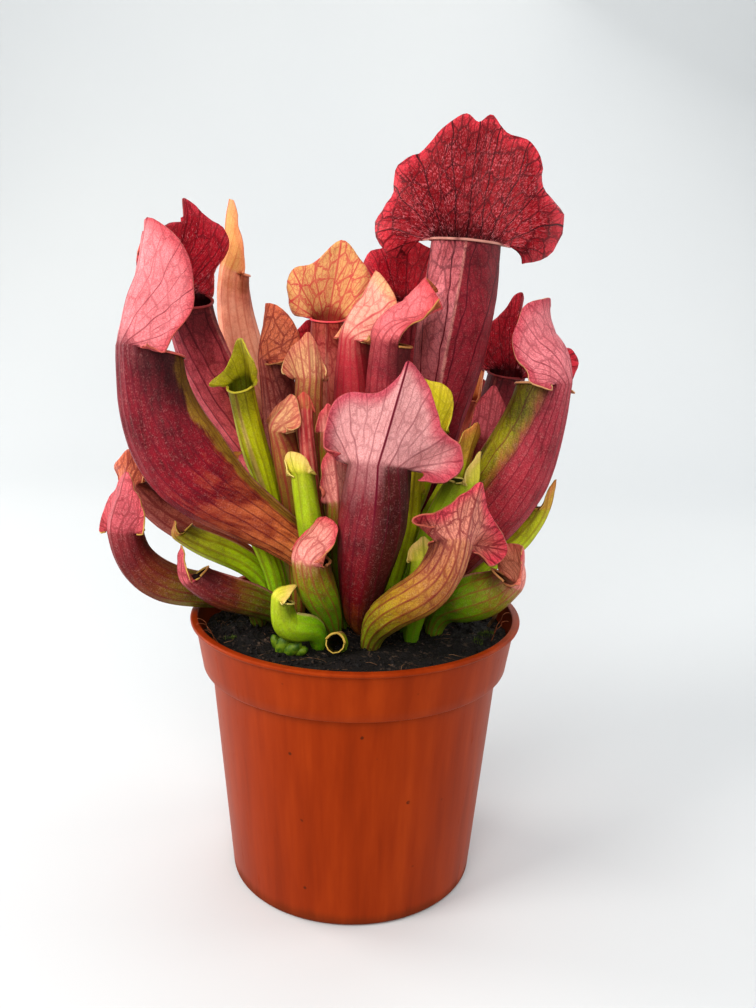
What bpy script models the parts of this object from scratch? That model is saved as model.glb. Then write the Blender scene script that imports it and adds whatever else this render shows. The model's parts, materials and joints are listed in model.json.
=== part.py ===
"""Potted trumpet pitcher plant: a nursery pot, its soil and a crown of hollow pitcher leaves.

Lengths are written in millimetres and MM turns them into Blender's metres. +X is right, +Y is
away from the front and +Z is up. The origin is on the pot's underside, at its centre.
"""

import math

import bmesh
import bpy
from mathutils import Vector

MM = 0.001
GAP = 0.3

# The pot: a turned plastic nursery pot, 90 mm across its rim
POT_HEIGHT = 75.6
RIM_RADIUS = 45.0
LIP_THICKNESS = 1.2
LIP_OVERHANG = 1.1
BAND_BOTTOM_RADIUS = 41.6
BAND_BOTTOM = 61.5
BODY_TOP_RADIUS = 39.4
BODY_BOTTOM_RADIUS = 33.9
BOTTOM_ROUNDING = 1.2
WALL = 1.0
FLOOR = 1.4
POT_STEPS = 40
DRAIN_HOLES = 8
DRAIN_HOLE_RADIUS = 3.0
DRAIN_HOLE_CIRCLE = 24.0

# The soil: it fills the pot to a few millimetres below the rim
SOIL_EDGE = 69.6
SOIL_LEVEL = 70.6
SOIL_BUMP = 0.35
SOIL_RINGS = 4
SOIL_STEPS = 32
ROOT_DEPTH = 5.0
HOLE_SIDES = 8
HOLE_HEADROOM = 7.0
FOOT_RISE = 0.8

# The leaves
LEAF_WALL = 0.7
WELD = 0.02
KEEL = 0.08
GRIDS = {
    # columns round the tube, columns that run on into the hood, rows of tube and of hood
    "large": (20, 16, 5, 4),
    "column": (20, 12, 5, 5),
    "medium": (12, 8, 4, 3),
    "small": (8, 6, 3, 2),
}
HOOD = {
    "width": 8.0,  # half of the hood's width
    "height": 12.0,  # from the neck to the tip
    "drop": 2.0,  # how far the side lobes hang below the neck
    "spread": 115.0,  # angle from the tip round to the end of each lobe
    "neck": 100.0,  # half of the arc of the mouth that carries the hood
    "rise": 1.5,  # how much higher the mouth's back is than its lip
    "wrap": 0.3,  # 0 is a flat hood, 1 is as curved as the tube
    "tilt": 0.0,  # the hood's turn forward at the neck, in degrees
    "lean": 0.0,  # the hood's curl forward up to its tip, in degrees
    "full": 1.0,  # 1 is an oval hood, and less is squarer
    "hollow": 0.0,  # how deep the margin cuts in between the tip and a lobe
    "tip": 1.0,  # height of the point at the tip
    "skew": 0.0,  # sideways shift of the tip
    "ruffle": 0.6,  # depth of the margin's waves
    "waves": 4.0,  # number of waves over the margin
    "phase": 0.0,
    "forward": 1.0,  # shift of the hood's sheet towards the front
    "hook": 0.0,  # how far the tip turns back from the mouth
    "flare": 0.0,  # how far the lobes stand off from the tube
    "margin": None,  # the margin's own points, across and up from the neck, lobe to lobe
}

RED = (0.32, 0.035, 0.06)
ROSE = (0.50, 0.13, 0.17)
MAUVE = (0.38, 0.12, 0.16)
PEACH = (0.70, 0.32, 0.16)
AMBER = (0.62, 0.30, 0.08)
TAN = (0.45, 0.22, 0.10)
LIME = (0.42, 0.52, 0.03)
GREEN = (0.22, 0.34, 0.02)
TERRACOTTA = (0.45, 0.09, 0.02)
PEAT = (0.012, 0.010, 0.009)

# Each pitcher: its foot on the soil, two handles of the curve that it follows, and its mouth's
# centre. Girth is the tube's radius at five even steps from foot to mouth, and face the direction
# in plan that the mouth looks to, in degrees from +X towards +Y.
PITCHERS = [
    dict(
        name="pitcher_tall", size="large", colour=RED, face=268,
        spine=((15, 18), (16, 18, 105), (26, 19, 140), (28.5, 23, 174)),
        girth=(2.6, 4.6, 7, 10, 9.4),
        hood=dict(
            height=34, neck=95, rise=1.5, wrap=0, tilt=-4, lean=8, ruffle=1.2, waves=5,
            forward=3.5, phase=3.4,
            margin=[
                (-16.2, -4.5), (-22, -3.2), (-25.6, 4), (-22, 12), (-20.8, 19.8), (-14.9, 24),
                (-9.7, 30.7), (-3.9, 35.2), (0.1, 33.2), (3.6, 35.5), (8.2, 31), (14.5, 29.2),
                (18.5, 23.5), (20.1, 16.7), (25.8, 10.5), (23.5, 0), (16, -3),
            ],
        ),
    ),
    dict(
        name="pitcher_behind_tall", size="medium", colour=RED, face=262,
        spine=((6, 28), (7, 30, 100), (12, 35, 130), (12.5, 38, 157)),
        girth=(2.2, 3.2, 4.2, 5.2, 5.2),
        hood=dict(width=15, height=17, drop=1, full=0.85, wrap=0, ruffle=0.8, tip=0, forward=2),
    ),
    dict(
        name="pitcher_left_large", size="column", colour=ROSE, face=38,
        spine=((-7.5, 3.5), (-8, 2, 106), (-51, -12, 98), (-53, -7, 144)),
        girth=(2.4, 4.2, 6.8, 10.4, 8),
        hood=dict(
            height=32, neck=56, wrap=0.58, tilt=12, ruffle=0, waves=5, phase=2.8, hook=0.6,
            forward=2.6, rise=3.5, lean=0, flare=3.5,
            margin=[
                (-8.5, 1.25), (-10.5, 0.5), (-13, -0.5), (-13.75, 3.75), (-17.5, 10.75),
                (-17, 17.25), (-14.5, 24), (-9.25, 29.25), (-1, 32.25), (4, 30), (5.25, 29),
                (4, 22), (8, 16), (11, 10), (12, 4.25), (12.75, 0.25), (11, -2.5),
            ],
        ),
    ),
    dict(
        name="pitcher_left_back", size="large", colour=RED, face=318,
        spine=((-16.5, 27), (-18, 31, 110), (-44.5, 26.5, 126), (-47.5, 20, 156.5)),
        girth=(2.4, 3.6, 6, 7.2, 6.2),
        hood=dict(
            height=26, wrap=0.28, tilt=11, ruffle=0, waves=5, hook=2.5, rise=2, forward=0.8,
            flare=2, neck=101,
            margin=[
                (-4.25, 2.5), (-6, 3), (-9.5, 8.25), (-12.75, 14.5), (-9.75, 19.25),
                (-2.25, 20.75), (3.75, 20.25), (4.5, 21.75), (6.25, 25.5), (8.5, 24.5),
                (11.25, 21), (16.75, 17), (18, 11.5), (15, 8.75), (14.25, 4), (13.25, -2.25),
                (10.5, -3.5),
            ],
        ),
    ),
    dict(
        name="pitcher_peach", size="medium", colour=PEACH, face=22,
        spine=((-11, 31), (-14, 38, 110), (-40.5, 38, 134), (-37, 36, 164.5)),
        girth=(2, 3, 4.4, 5.2, 4.2),
        hood=dict(
            width=7.5, height=16.5, drop=-1, wrap=0.6, tilt=1, tip=3, hollow=0.1, forward=0.7,
            phase=2.2, full=0.8,
        ),
    ),
    dict(
        name="pitcher_amber", size="medium", colour=AMBER, face=270,
        spine=((-5.5, 23.5), (-7, 25, 100), (-10, 27, 125), (-9.5, 28, 152)),
        girth=(2.2, 3.2, 4.4, 4.9, 4.6),
        hood=dict(
            height=21, neck=92, wrap=0, ruffle=0.5, forward=2,
            margin=[
                (-9.5, 1), (-11.5, 5), (-10.7, 12.6), (-4.5, 15), (3, 21.5), (8.5, 16.5),
                (12, 10.5), (12.5, 4.5), (9.5, 0.5),
            ],
        ),
    ),
    dict(
        name="pitcher_rose", size="medium", colour=PEACH, face=35,
        spine=((0.5, 14), (-2, 15, 100), (-3, 16, 125), (-1.5, 16, 147)),
        girth=(2.2, 3.2, 4.4, 4.9, 4.4),
        hood=dict(
            height=22, wrap=0.4, tilt=30, neck=70, flare=2,
            margin=[
                (-6.25, 2.5), (-9, 2.25), (-9, 9.25), (-8.25, 15.75), (3.25, 22), (5.25, 17.75),
                (8, 13.25), (8, 7.75), (7, 0),
            ],
        ),
    ),
    dict(
        name="pitcher_salmon", size="medium", colour=ROSE, face=8,
        spine=((5, 7), (5, 6, 100), (5, 4, 125), (8, 4, 148)),
        girth=(2.2, 3, 3.8, 4.8, 5),
        hood=dict(
            height=23.5, wrap=0.84, tilt=38, hook=1.1, rise=0.25, spread=110, flare=4, neck=101,
            forward=-2, ruffle=0,
            margin=[
                (-8.75, 15), (-11, 16.25), (-9.25, 16), (-10, 18.75), (9.25, 22.5), (6.25, 18.5),
                (5.75, 15), (4.75, 14.25), (10.25, 7.5),
            ],
        ),
    ),
    dict(
        name="pitcher_rust", size="medium", colour=TAN, face=18,
        spine=((-20.5, 20), (-20.5, 19.5, 95), (-21, 19, 115), (-23.5, 17, 140)),
        girth=(2, 2.6, 3.2, 4.5, 4.3),
        hood=dict(
            height=15, wrap=0.52, tilt=12, ruffle=0.8, phase=5.3, neck=62, rise=3, flare=2.5,
            forward=0.6,
            margin=[
                (-3.75, -0.25), (-6.5, -0.25), (-9.75, 1.25), (-12, 8.25), (-5, 15.25),
                (8.5, 12.75), (7.75, 8), (8.25, 3.5), (7, 0),
            ],
        ),
    ),
    dict(
        name="pitcher_striped", size="medium", colour=TAN, face=95,
        spine=((-6, 18), (-7, 19, 100), (-15, 10, 115), (-13.8, 8.5, 137)),
        girth=(2, 2.6, 3.2, 3.6, 3.5),
        hood=dict(
            height=12.5, wrap=0.3, tilt=10, flare=1.75,
            margin=[
                (-2.25, 1.25), (-3.5, 3.75), (-2.25, 7.5), (-0.75, 10.5), (1, 12.5), (3.25, 10.25),
                (6, 7.5), (7.25, 3.75), (4.75, 1.25),
            ],
        ),
    ),
    dict(
        name="pitcher_lime", size="medium", colour=LIME, face=246,
        spine=((-16.5, 13.5), (-20, 14, 95), (-28.5, 11, 112), (-31.8, 6.5, 135.3)),
        girth=(2, 2.4, 2.9, 3.4, 3.4),
        hood=dict(
            height=15, wrap=0.4, tilt=0, lean=30, forward=2, spread=110, flare=1.5, neck=98,
            ruffle=0.15, rise=1.5,
            margin=[
                (-3.25, 0.75), (-9, 1.25), (-4.5, 4), (-1.25, 8.25), (3, 14.75), (6.5, 14.75),
                (8, 9.75), (5.75, 3.75), (3, 1.5),
            ],
        ),
    ),
    dict(
        name="pitcher_tan", size="small", colour=TAN, face=35,
        spine=((-16.5, 8.5), (-17, 9.5, 95), (-18.6, 6, 110), (-20.6, 3.5, 124)),
        girth=(1.8, 2.1, 2.5, 3.2, 3.3),
        hood=dict(
            height=11, wrap=0.3, tilt=30, forward=0.4, neck=71, flare=1.5, ruffle=0.45, rise=1.5,
            margin=[
                (-4.5, 1.5), (-6.5, 1.75), (-8, 4), (-6.5, 8), (-3.5, 11), (-0.5, 8.75), (2.25, 6),
                (4.25, 3), (10.25, 0.75),
            ],
        ),
    ),
    dict(
        name="pitcher_front", size="large", colour=MAUVE, face=82,
        spine=((2.5, -3), (-1, -12, 80), (3.8, -17, 98), (5.2, -15, 118)),
        girth=(2.6, 4.6, 6.4, 8.4, 8),
        hood=dict(
            height=26.5, neck=95, rise=1.75, wrap=0.02, tilt=-5, lean=10, ruffle=0, forward=3.5,
            flare=1.5,
            margin=[
                (-8.5, -1), (-14.75, -1.75), (-17.25, -1), (-20.25, 2.25), (-19.5, 6.75),
                (-14.5, 10.25), (-12.25, 17), (-9.25, 22.25), (-5, 26.5), (-3, 22.5), (1.75, 18),
                (8.25, 17.5), (12, 15), (13.25, 10.5), (13.5, 4.75), (10.75, 4), (8, 3.5),
            ],
        ),
    ),
    dict(
        name="pitcher_front_right", size="large", colour=TAN, face=98,
        spine=((4, -15), (6, -23, 88), (18, -27, 84), (22.7, -24, 99)),
        girth=(2.4, 4.2, 4.8, 5.2, 5),
        hood=dict(
            height=15, neck=90, rise=4.25, wrap=0.08, tilt=-1, ruffle=0, forward=2.2, flare=1.5,
            margin=[
                (-3.75, 0.5), (-8.25, -0.25), (-13.5, -2), (-18.25, 1), (-15, 4.25), (-9.5, 7),
                (-5.25, 10), (-2.5, 13.25), (0, 15.25), (2, 13), (4.25, 10.75), (7, 7),
                (9.25, 5.25), (12.75, 4.25), (14, 2.75), (11.5, 2.75), (7, 4),
            ],
        ),
    ),
    dict(
        name="pitcher_right_large", size="column", colour=ROSE, face=142,
        spine=((19, 5), (23, 3, 92), (42, 1, 100), (48.9, 4, 137)),
        girth=(2.6, 4.2, 7.4, 9.6, 7),
        hood=dict(
            height=24, neck=58, wrap=0.6, tilt=30, ruffle=0.4, waves=5, phase=4.9, hook=1.5,
            rise=2.5, flare=3.5, forward=0.5,
            margin=[
                (-8.5, -1), (-11, 0.25), (-13.25, 2.75), (-13.5, 7), (-12, 12), (-9.5, 17),
                (-6.5, 21), (-2.5, 24), (3.75, 23.5), (9.25, 22.5), (11.75, 18.5), (14.5, 14.25),
                (14.75, 9.75), (13, 5.5), (13, 2.25), (10, 0.25), (8.5, -1.25),
            ],
        ),
    ),
    dict(
        name="pitcher_right_back", size="large", colour=RED, face=240,
        spine=((22, 24), (23, 27, 95), (38, 33, 110), (43, 33, 137)),
        girth=(2.4, 3.6, 4.8, 5.6, 5.2),
        hood=dict(
            height=23, wrap=0.06, tilt=4, ruffle=0.8, waves=5, forward=2, flare=1.5, neck=100,
            margin=[
                (-7.5, -1.25), (-11.25, 0.75), (-11.75, 4.75), (-11.5, 8.25), (-10, 12.25),
                (-6.75, 16.25), (-5.25, 19.75), (-4, 22.25), (-2, 23.25), (-1.75, 20.5), (-1, 17),
                (2.5, 14.75), (8.25, 12.25), (14.25, 10), (18.25, 11), (20.75, 8.5), (19, 3.5),
            ],
        ),
    ),
    dict(
        name="pitcher_peach_slip", size="small", colour=PEACH, face=200,
        spine=((15, 27), (16, 30, 90), (31, 39.5, 113), (34.2, 41, 128)),
        girth=(1.7, 2, 2.2, 2.2, 2),
        hood=dict(width=3, height=9, drop=0.5, tip=2, phase=4.9, forward=0.8),
    ),
    dict(
        name="pitcher_left_low", size="medium", colour=MAUVE, face=62,
        spine=((-27, 2), (-28.5, 1.5, 87), (-57, -3, 71.5), (-61.5, -4, 97)),
        girth=(2.2, 3.2, 4.3, 4.9, 4.5),
        hood=dict(width=8.5, height=15, drop=1, wrap=0.2, tilt=30, hollow=0.1, tip=2, full=0.85),
    ),
    dict(
        name="pitcher_left_rear_low", size="small", colour=TAN, face=60,
        spine=((-27, 20), (-27.5, 20.2, 92), (-47, 22, 82), (-63.2, 18, 105)),
        girth=(1.9, 2.6, 3.4, 4, 3.8),
        hood=dict(
            height=11, wrap=0.3, tilt=20, forward=1.4, flare=2.25, ruffle=0.6,
            margin=[
                (-5.25, -0.25), (-7.5, 2.5), (-8.75, 6.5), (-8.75, 9.75), (-5.75, 10.75),
                (-0.75, 9), (5.75, 7), (7, 3.75), (3, 0.5),
            ],
        ),
    ),
    dict(
        name="pitcher_left_lying", size="medium", colour=ROSE, face=30,
        spine=((-19, -4), (-22, -6, 81), (-32, -12, 80), (-41, -13, 88)),
        girth=(2, 2.8, 3.6, 3.9, 3.4),
        hood=dict(
            width=4.5, height=10, drop=0, wrap=0.4, tilt=20, lean=40, tip=1, forward=0.5, phase=4,
        ),
    ),
    dict(
        name="pitcher_front_left", size="medium", colour=GREEN, face=40,
        spine=((-6, -9.5), (-6.5, -14, 82), (-10.5, -17, 84), (-11.5, -18, 94)),
        girth=(2.2, 3.2, 4.2, 4.8, 4.6),
        hood=dict(
            height=15, wrap=0.46, tilt=40, lean=20, forward=0.5, spread=110, flare=1,
            margin=[
                (-4.5, -1), (-6, 4), (-6, 9.5), (-4, 13.5), (1.75, 15), (6, 13), (7, 8), (7, 3.5),
                (6, 0),
            ],
        ),
    ),
    dict(
        name="pitcher_green_curl", size="small", colour=LIME, face=20,
        spine=((-9.5, -15.5), (-11, -19, 82), (-18.6, -22, 72), (-18.6, -21, 84.3)),
        girth=(2, 2.8, 3.2, 3.2, 2.6),
        hood=dict(
            width=4, height=7, drop=0, wrap=0.5, tilt=30, lean=60, tip=0.5, forward=0.3,
            ruffle=0.2,
        ),
    ),
    dict(
        name="pitcher_right_low", size="medium", colour=GREEN, face=165,
        spine=((21.5, -3.5), (24, -5, 83), (32, -9, 79), (39.5, -9, 87)),
        girth=(2.2, 3.6, 5.2, 5.6, 4.4),
        hood=dict(
            height=12, wrap=0.5, tilt=30, lean=20, forward=0.5, spread=110, flare=2, rise=1.5,
            ruffle=0, neck=103,
            margin=[
                (-9, -3.75), (-10.5, 0.25), (-11.5, 4.5), (-11, 9.25), (-8.25, 12), (3, 11),
                (4, 8), (4, 4), (3.5, 0),
            ],
        ),
    ),
    dict(
        name="pitcher_yellow", size="small", colour=LIME, face=80,
        spine=((9.5, 11.5), (10.5, 11, 95), (17.5, 8, 105), (20, 6.5, 124)),
        girth=(1.9, 2.2, 2.4, 2.8, 2.8),
        hood=dict(
            height=13, wrap=0.05, flare=1.5, ruffle=0.6, forward=1, tilt=0,
            margin=[
                (-1.75, 1.25), (-3.25, 2.75), (-4.25, 6.5), (-3, 10.75), (-0.25, 12.75),
                (3.25, 13), (6.25, 13.25), (7, 9), (5.5, 2.5),
            ],
        ),
    ),
    dict(
        name="pitcher_olive", size="small", colour=GREEN, face=120,
        spine=((13, 6), (13.5, 4.5, 95), (23.5, 3.5, 103), (27, 4, 116)),
        girth=(1.8, 2.2, 2.6, 2.8, 2.6),
        hood=dict(width=4.5, height=10, drop=0, wrap=0.3, forward=0.5, full=0.85),
    ),
    dict(
        name="pitcher_dusky", size="small", colour=MAUVE, face=70,
        spine=((24, 14.5), (25, 15, 90), (34, 15, 100), (36, 15.5, 120)),
        girth=(2, 2.8, 3.6, 4.4, 4.2),
        hood=dict(width=5.5, height=14, drop=-0.5, wrap=0.4, tilt=5, tip=1, forward=0.5),
    ),
    dict(
        name="pitcher_dried_tip", size="medium", colour=LIME, face=150,
        spine=((14, -3), (16, -3, 85), (22, -6, 98), (27, -6.5, 113)),
        girth=(2.2, 3, 4, 4.5, 4),
        hood=dict(width=5, height=8, drop=0, wrap=0.4, tilt=15, tip=1, forward=0.5, phase=3.8),
    ),
    dict(
        name="pitcher_green_mid", size="small", colour=LIME, face=95,
        spine=((8, 3), (9, 2.5, 85), (13.5, 0.5, 95), (14.2, 0.5, 108)),
        girth=(1.8, 2.4, 2.8, 3, 2.8),
        hood=dict(width=3.5, height=7, drop=-1, wrap=0.3, tip=1, forward=0.1, full=0.95),
    ),
    dict(
        name="pitcher_pale_green", size="small", colour=LIME, face=75,
        spine=((-9, -5), (-8.5, -7, 85), (-12.2, -7.2, 95), (-14.3, -6.2, 114)),
        girth=(2, 2.6, 3, 3.1, 3),
        hood=dict(
            height=6, wrap=0.3, tilt=25, forward=-0.8, flare=1.5, neck=100, ruffle=0.6,
            margin=[
                (-2, -1), (-3, 0.75), (-3, 2.5), (-1.75, 4.25), (0.5, 5.5), (4, 5.75),
                (4.25, 3.25), (2.25, 0.25), (-0.5, -2),
            ],
        ),
    ),
    dict(
        name="pitcher_peach_fold", size="small", colour=PEACH, face=110,
        spine=((-2.5, -0.5), (-3.5, -1, 84), (-5.5, -3, 92), (-5.8, -4, 106)),
        girth=(1.8, 2.2, 2.6, 2.8, 2.6),
        hood=dict(
            height=14.5, wrap=0.3, tilt=10, forward=0.4, flare=2, neck=100,
            margin=[
                (-1.75, 0.75), (-3.25, 3), (-3.75, 7), (-3, 11.5), (0.25, 14.5), (3, 12.25),
                (3.75, 9.5), (3.75, 6), (1.25, 3),
            ],
        ),
    ),
    dict(
        name="pitcher_green_left", size="small", colour=GREEN, face=20,
        spine=((-21.5, 6), (-22.5, 8.5, 90), (-32, 6.6, 98), (-34, 5.6, 112.5)),
        girth=(1.9, 2.2, 2.4, 2.5, 2.4),
        hood=dict(
            width=4.4, height=6, drop=0, wrap=0.4, tilt=12, forward=-0.2, full=0.8, lean=80,
            spread=115,
        ),
    ),
    dict(
        name="pitcher_green_far_left", size="small", colour=GREEN, face=25,
        spine=((-24, 12.5), (-26, 13, 86), (-38, 12, 86), (-48.5, 12, 93)),
        girth=(1.8, 2.4, 2.9, 3.1, 2.8),
        hood=dict(
            width=3.8, height=5, drop=0, wrap=0.4, tilt=30, lean=30, tip=0.5, forward=0.3,
            phase=1.9, flare=0.25,
        ),
    ),
    dict(
        name="pitcher_green_right", size="small", colour=GREEN, face=150,
        spine=((28, 9.5), (30, 11, 88), (45, 15, 86), (51, 15, 101)),
        girth=(1.9, 2.6, 3.3, 3.8, 3.2),
        hood=dict(width=4.2, height=8, drop=-1, wrap=0.4, tilt=10, tip=1, forward=0.2),
    ),
    dict(
        name="pitcher_orange", size="small", colour=AMBER, face=100,
        spine=((-8.5, 10.5), (-9, 10, 90), (-13.4, 5, 110), (-14.6, 3.6, 129)),
        girth=(1.7, 1.8, 1.9, 2, 1.9),
        hood=dict(
            width=2.6, height=4.6, drop=0, wrap=0.3, tip=0.4, forward=0.6, ruffle=0.2, waves=2,
            flare=0.25, full=1, tilt=0, spread=115,
        ),
    ),
    dict(
        name="pitcher_peach_small", size="small", colour=PEACH, face=75,
        spine=((-3.5, 8), (-4.5, 7, 90), (-8, 4, 105), (-7.8, 0.5, 124)),
        girth=(1.8, 2, 2.2, 2.4, 2.3),
        hood=dict(width=3.5, height=7, drop=0, wrap=0.2, tip=1, forward=0.5),
    ),
    dict(
        name="pitcher_green_low", size="small", colour=LIME, face=95,
        spine=((15, -9.5), (15, -12, 80), (17, -14, 84), (17, -13.5, 93)),
        girth=(1.8, 2.6, 3, 3.2, 3),
        hood=dict(width=4, height=6, drop=0, wrap=0.3, tilt=20, tip=0.5, forward=0.5),
    ),
    dict(
        name="pitcher_cut_stub", size="small", colour=GREEN, face=270, cut=True,
        spine=((-4, -16), (-4.3, -18, 72.8), (-4.8, -20.3, 74), (-5, -22, 74.4)),
        girth=(1.9, 1.9, 2, 2.1, 2.2),
        hood=dict(),
    ),
    dict(
        name="pitcher_rear_mid", size="medium", colour=RED, face=275,
        spine=((-3, 31), (-4, 34, 95), (-12, 44, 110), (-14, 48, 134)),
        girth=(2, 3.2, 4.4, 5.4, 5),
        hood=dict(width=11, height=15, drop=1, wrap=0.1, tip=1, ruffle=0.9, forward=2),
    ),
    dict(
        name="pitcher_rear_right", size="medium", colour=ROSE, face=245,
        spine=((13, 33), (15, 37, 90), (27, 46, 100), (31, 49, 122)),
        girth=(2, 3.2, 4.4, 5.2, 4.8),
        hood=dict(width=10, height=14, drop=1, wrap=0.2, tip=1, ruffle=0.9, forward=2),
    ),
    dict(
        name="pitcher_rear_left", size="medium", colour=ROSE, face=310,
        spine=((-24, 25.5), (-26, 28, 92), (-37, 41, 100), (-42, 44, 122)),
        girth=(2, 3, 4.2, 5, 4.6),
        hood=dict(width=9, height=14, drop=1, wrap=0.2, tip=1, ruffle=0.9, forward=1.5),
    ),
    dict(
        name="pitcher_rear_low", size="small", colour=GREEN, face=250,
        spine=((4, 35), (4, 37, 92), (11, 48, 88), (13, 52, 100)),
        girth=(1.8, 2.6, 3.4, 3.8, 3.4),
        hood=dict(width=5, height=8, drop=0, wrap=0.3, tip=1, forward=0.7),
    ),
]


def clear_scene():
    for obj in list(bpy.data.objects):
        bpy.data.objects.remove(obj, do_unlink=True)


def new_collection(name):
    collection = bpy.data.collections.new(name)
    bpy.context.scene.collection.children.link(collection)
    return collection


def new_material(name, colour, roughness, metallic=0.0):
    material = bpy.data.materials.new(name)
    material.use_nodes = True
    shader = material.node_tree.nodes["Principled BSDF"]
    shader.inputs["Base Color"].default_value = (*colour, 1.0)
    shader.inputs["Roughness"].default_value = roughness
    shader.inputs["Metallic"].default_value = metallic
    return material


def add_object(name, mesh, collection, material=None):
    obj = bpy.data.objects.new(name, mesh)
    collection.objects.link(obj)
    if material:
        mesh.materials.append(material)
    return obj


def mesh_from(work, name):
    mesh = bpy.data.meshes.new(name)
    work.to_mesh(mesh)
    work.free()
    return mesh


def turned(name, profile, steps, collection, material):
    """A profile of (radius, height) in millimetres, turned once round the Z axis."""
    work = bmesh.new()
    points = [work.verts.new((radius * MM, 0.0, height * MM)) for radius, height in profile]
    for first, second in zip(points, points[1:]):
        work.edges.new((first, second))
    obj = add_object(name, mesh_from(work, name), collection, material)
    screw = obj.modifiers.new("turn", "SCREW")
    screw.axis = "Z"
    screw.steps = steps
    screw.render_steps = steps
    screw.use_merge_vertices = True
    screw.merge_threshold = 0.00001
    return obj


def cut_with(obj, cutters):
    cut = obj.modifiers.new("holes", "BOOLEAN")
    cut.operation = "DIFFERENCE"
    cut.solver = "EXACT"
    cut.operand_type = "COLLECTION"
    cut.collection = cutters


def add_cutter(name, start, end, radius, sides, cutters):
    """A round cutter from start to end, in millimetres."""
    axis = end - start
    work = bmesh.new()
    bmesh.ops.create_cone(
        work, cap_ends=True, segments=sides, radius1=radius * MM, radius2=radius * MM,
        depth=axis.length * MM,
    )
    obj = add_object(name, mesh_from(work, name), cutters)
    obj.location = (start + end) / 2 * MM
    obj.rotation_mode = "QUATERNION"
    obj.rotation_quaternion = axis.to_track_quat("Z", "Y")
    obj.display_type = "WIRE"
    obj.hide_render = True


def pot_radius(height, outer=True):
    """The wall's radius at a height, on the body below the band and on the band above it."""
    if height <= BAND_BOTTOM:
        share = height / BAND_BOTTOM
        radius = BODY_BOTTOM_RADIUS + share * (BODY_TOP_RADIUS - BODY_BOTTOM_RADIUS)
    else:
        share = (height - BAND_BOTTOM) / (POT_HEIGHT - BAND_BOTTOM)
        band_top = RIM_RADIUS - LIP_OVERHANG
        radius = BAND_BOTTOM_RADIUS + share * (band_top - BAND_BOTTOM_RADIUS)
    return radius if outer else radius - WALL


def pot_profile():
    """From the floor's centre up the inside, over the lip and down the outside."""
    under_lip = POT_HEIGHT - LIP_THICKNESS
    shoulder = BAND_BOTTOM + WALL
    return [
        (0.0, FLOOR),
        (pot_radius(FLOOR, outer=False), FLOOR),
        (pot_radius(BAND_BOTTOM, outer=False), BAND_BOTTOM),
        (pot_radius(shoulder, outer=False), shoulder),
        (pot_radius(POT_HEIGHT, outer=False), POT_HEIGHT - 0.3),
        (pot_radius(POT_HEIGHT, outer=False) + 0.3, POT_HEIGHT),
        (RIM_RADIUS - 0.3, POT_HEIGHT),
        (RIM_RADIUS, POT_HEIGHT - 0.3),
        (RIM_RADIUS, under_lip),
        (pot_radius(under_lip), under_lip - 0.2),
        (BAND_BOTTOM_RADIUS, BAND_BOTTOM),
        (BODY_TOP_RADIUS, BAND_BOTTOM - 0.3),
        (pot_radius(BOTTOM_ROUNDING), BOTTOM_ROUNDING),
        (BODY_BOTTOM_RADIUS - BOTTOM_ROUNDING, 0.0),
        (0.0, 0.0),
    ]


def make_pot(parts, cutters):
    plastic = new_material("terracotta_plastic", TERRACOTTA, 0.35)
    pot = turned("pot", pot_profile(), POT_STEPS, parts, plastic)
    for index in range(DRAIN_HOLES):
        angle = 2 * math.pi * index / DRAIN_HOLES
        place = Vector((math.cos(angle), math.sin(angle), 0.0)) * DRAIN_HOLE_CIRCLE
        low = place - Vector((0, 0, FLOOR))
        high = place + Vector((0, 0, 2 * FLOOR))
        add_cutter(f"drain_{index}", low, high, DRAIN_HOLE_RADIUS, HOLE_SIDES, cutters)
    cut_with(pot, cutters)


def soil_height(x, y):
    """A low mound with uneven lumps."""
    share = min(1.0, math.hypot(x, y) / pot_radius(SOIL_EDGE, outer=False))
    mound = SOIL_LEVEL + (SOIL_EDGE - SOIL_LEVEL) * share**2
    lumps = math.sin(0.33 * x + 1.1) * math.cos(0.29 * y) + math.sin(0.51 * y - 0.24 * x)
    return mound + SOIL_BUMP * lumps


def make_soil(parts, cutters):
    peat = new_material("peat", PEAT, 1.0)
    shoulder = BAND_BOTTOM + WALL
    edge = pot_radius(SOIL_EDGE, outer=False) - GAP
    profile = [(edge * ring / SOIL_RINGS, SOIL_LEVEL) for ring in range(SOIL_RINGS)]
    profile += [
        (edge, SOIL_EDGE),
        (pot_radius(shoulder, outer=False) - GAP, shoulder + GAP),
        (pot_radius(BAND_BOTTOM, outer=False) - GAP, BAND_BOTTOM),
        (pot_radius(FLOOR, outer=False) - 2 * GAP, FLOOR + GAP),
        (0.0, FLOOR + GAP),
    ]
    work = bmesh.new()
    points = [work.verts.new((radius, 0.0, height)) for radius, height in profile]
    edges = [work.edges.new(pair) for pair in zip(points, points[1:])]
    bmesh.ops.spin(
        work, geom=points + edges, cent=(0, 0, 0), axis=(0, 0, 1), angle=2 * math.pi,
        steps=SOIL_STEPS, use_merge=True,
    )
    bmesh.ops.remove_doubles(work, verts=work.verts, dist=WELD)
    for point in work.verts:
        if point.co.z > SOIL_EDGE - GAP:
            point.co.z = soil_height(point.co.x, point.co.y)
    bmesh.ops.triangulate(work, faces=work.faces)
    bmesh.ops.recalc_face_normals(work, faces=work.faces)
    bmesh.ops.scale(work, vec=(MM, MM, MM), verts=work.verts)
    soil = add_object("soil", mesh_from(work, "soil"), parts, peat)
    cut_with(soil, cutters)


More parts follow.
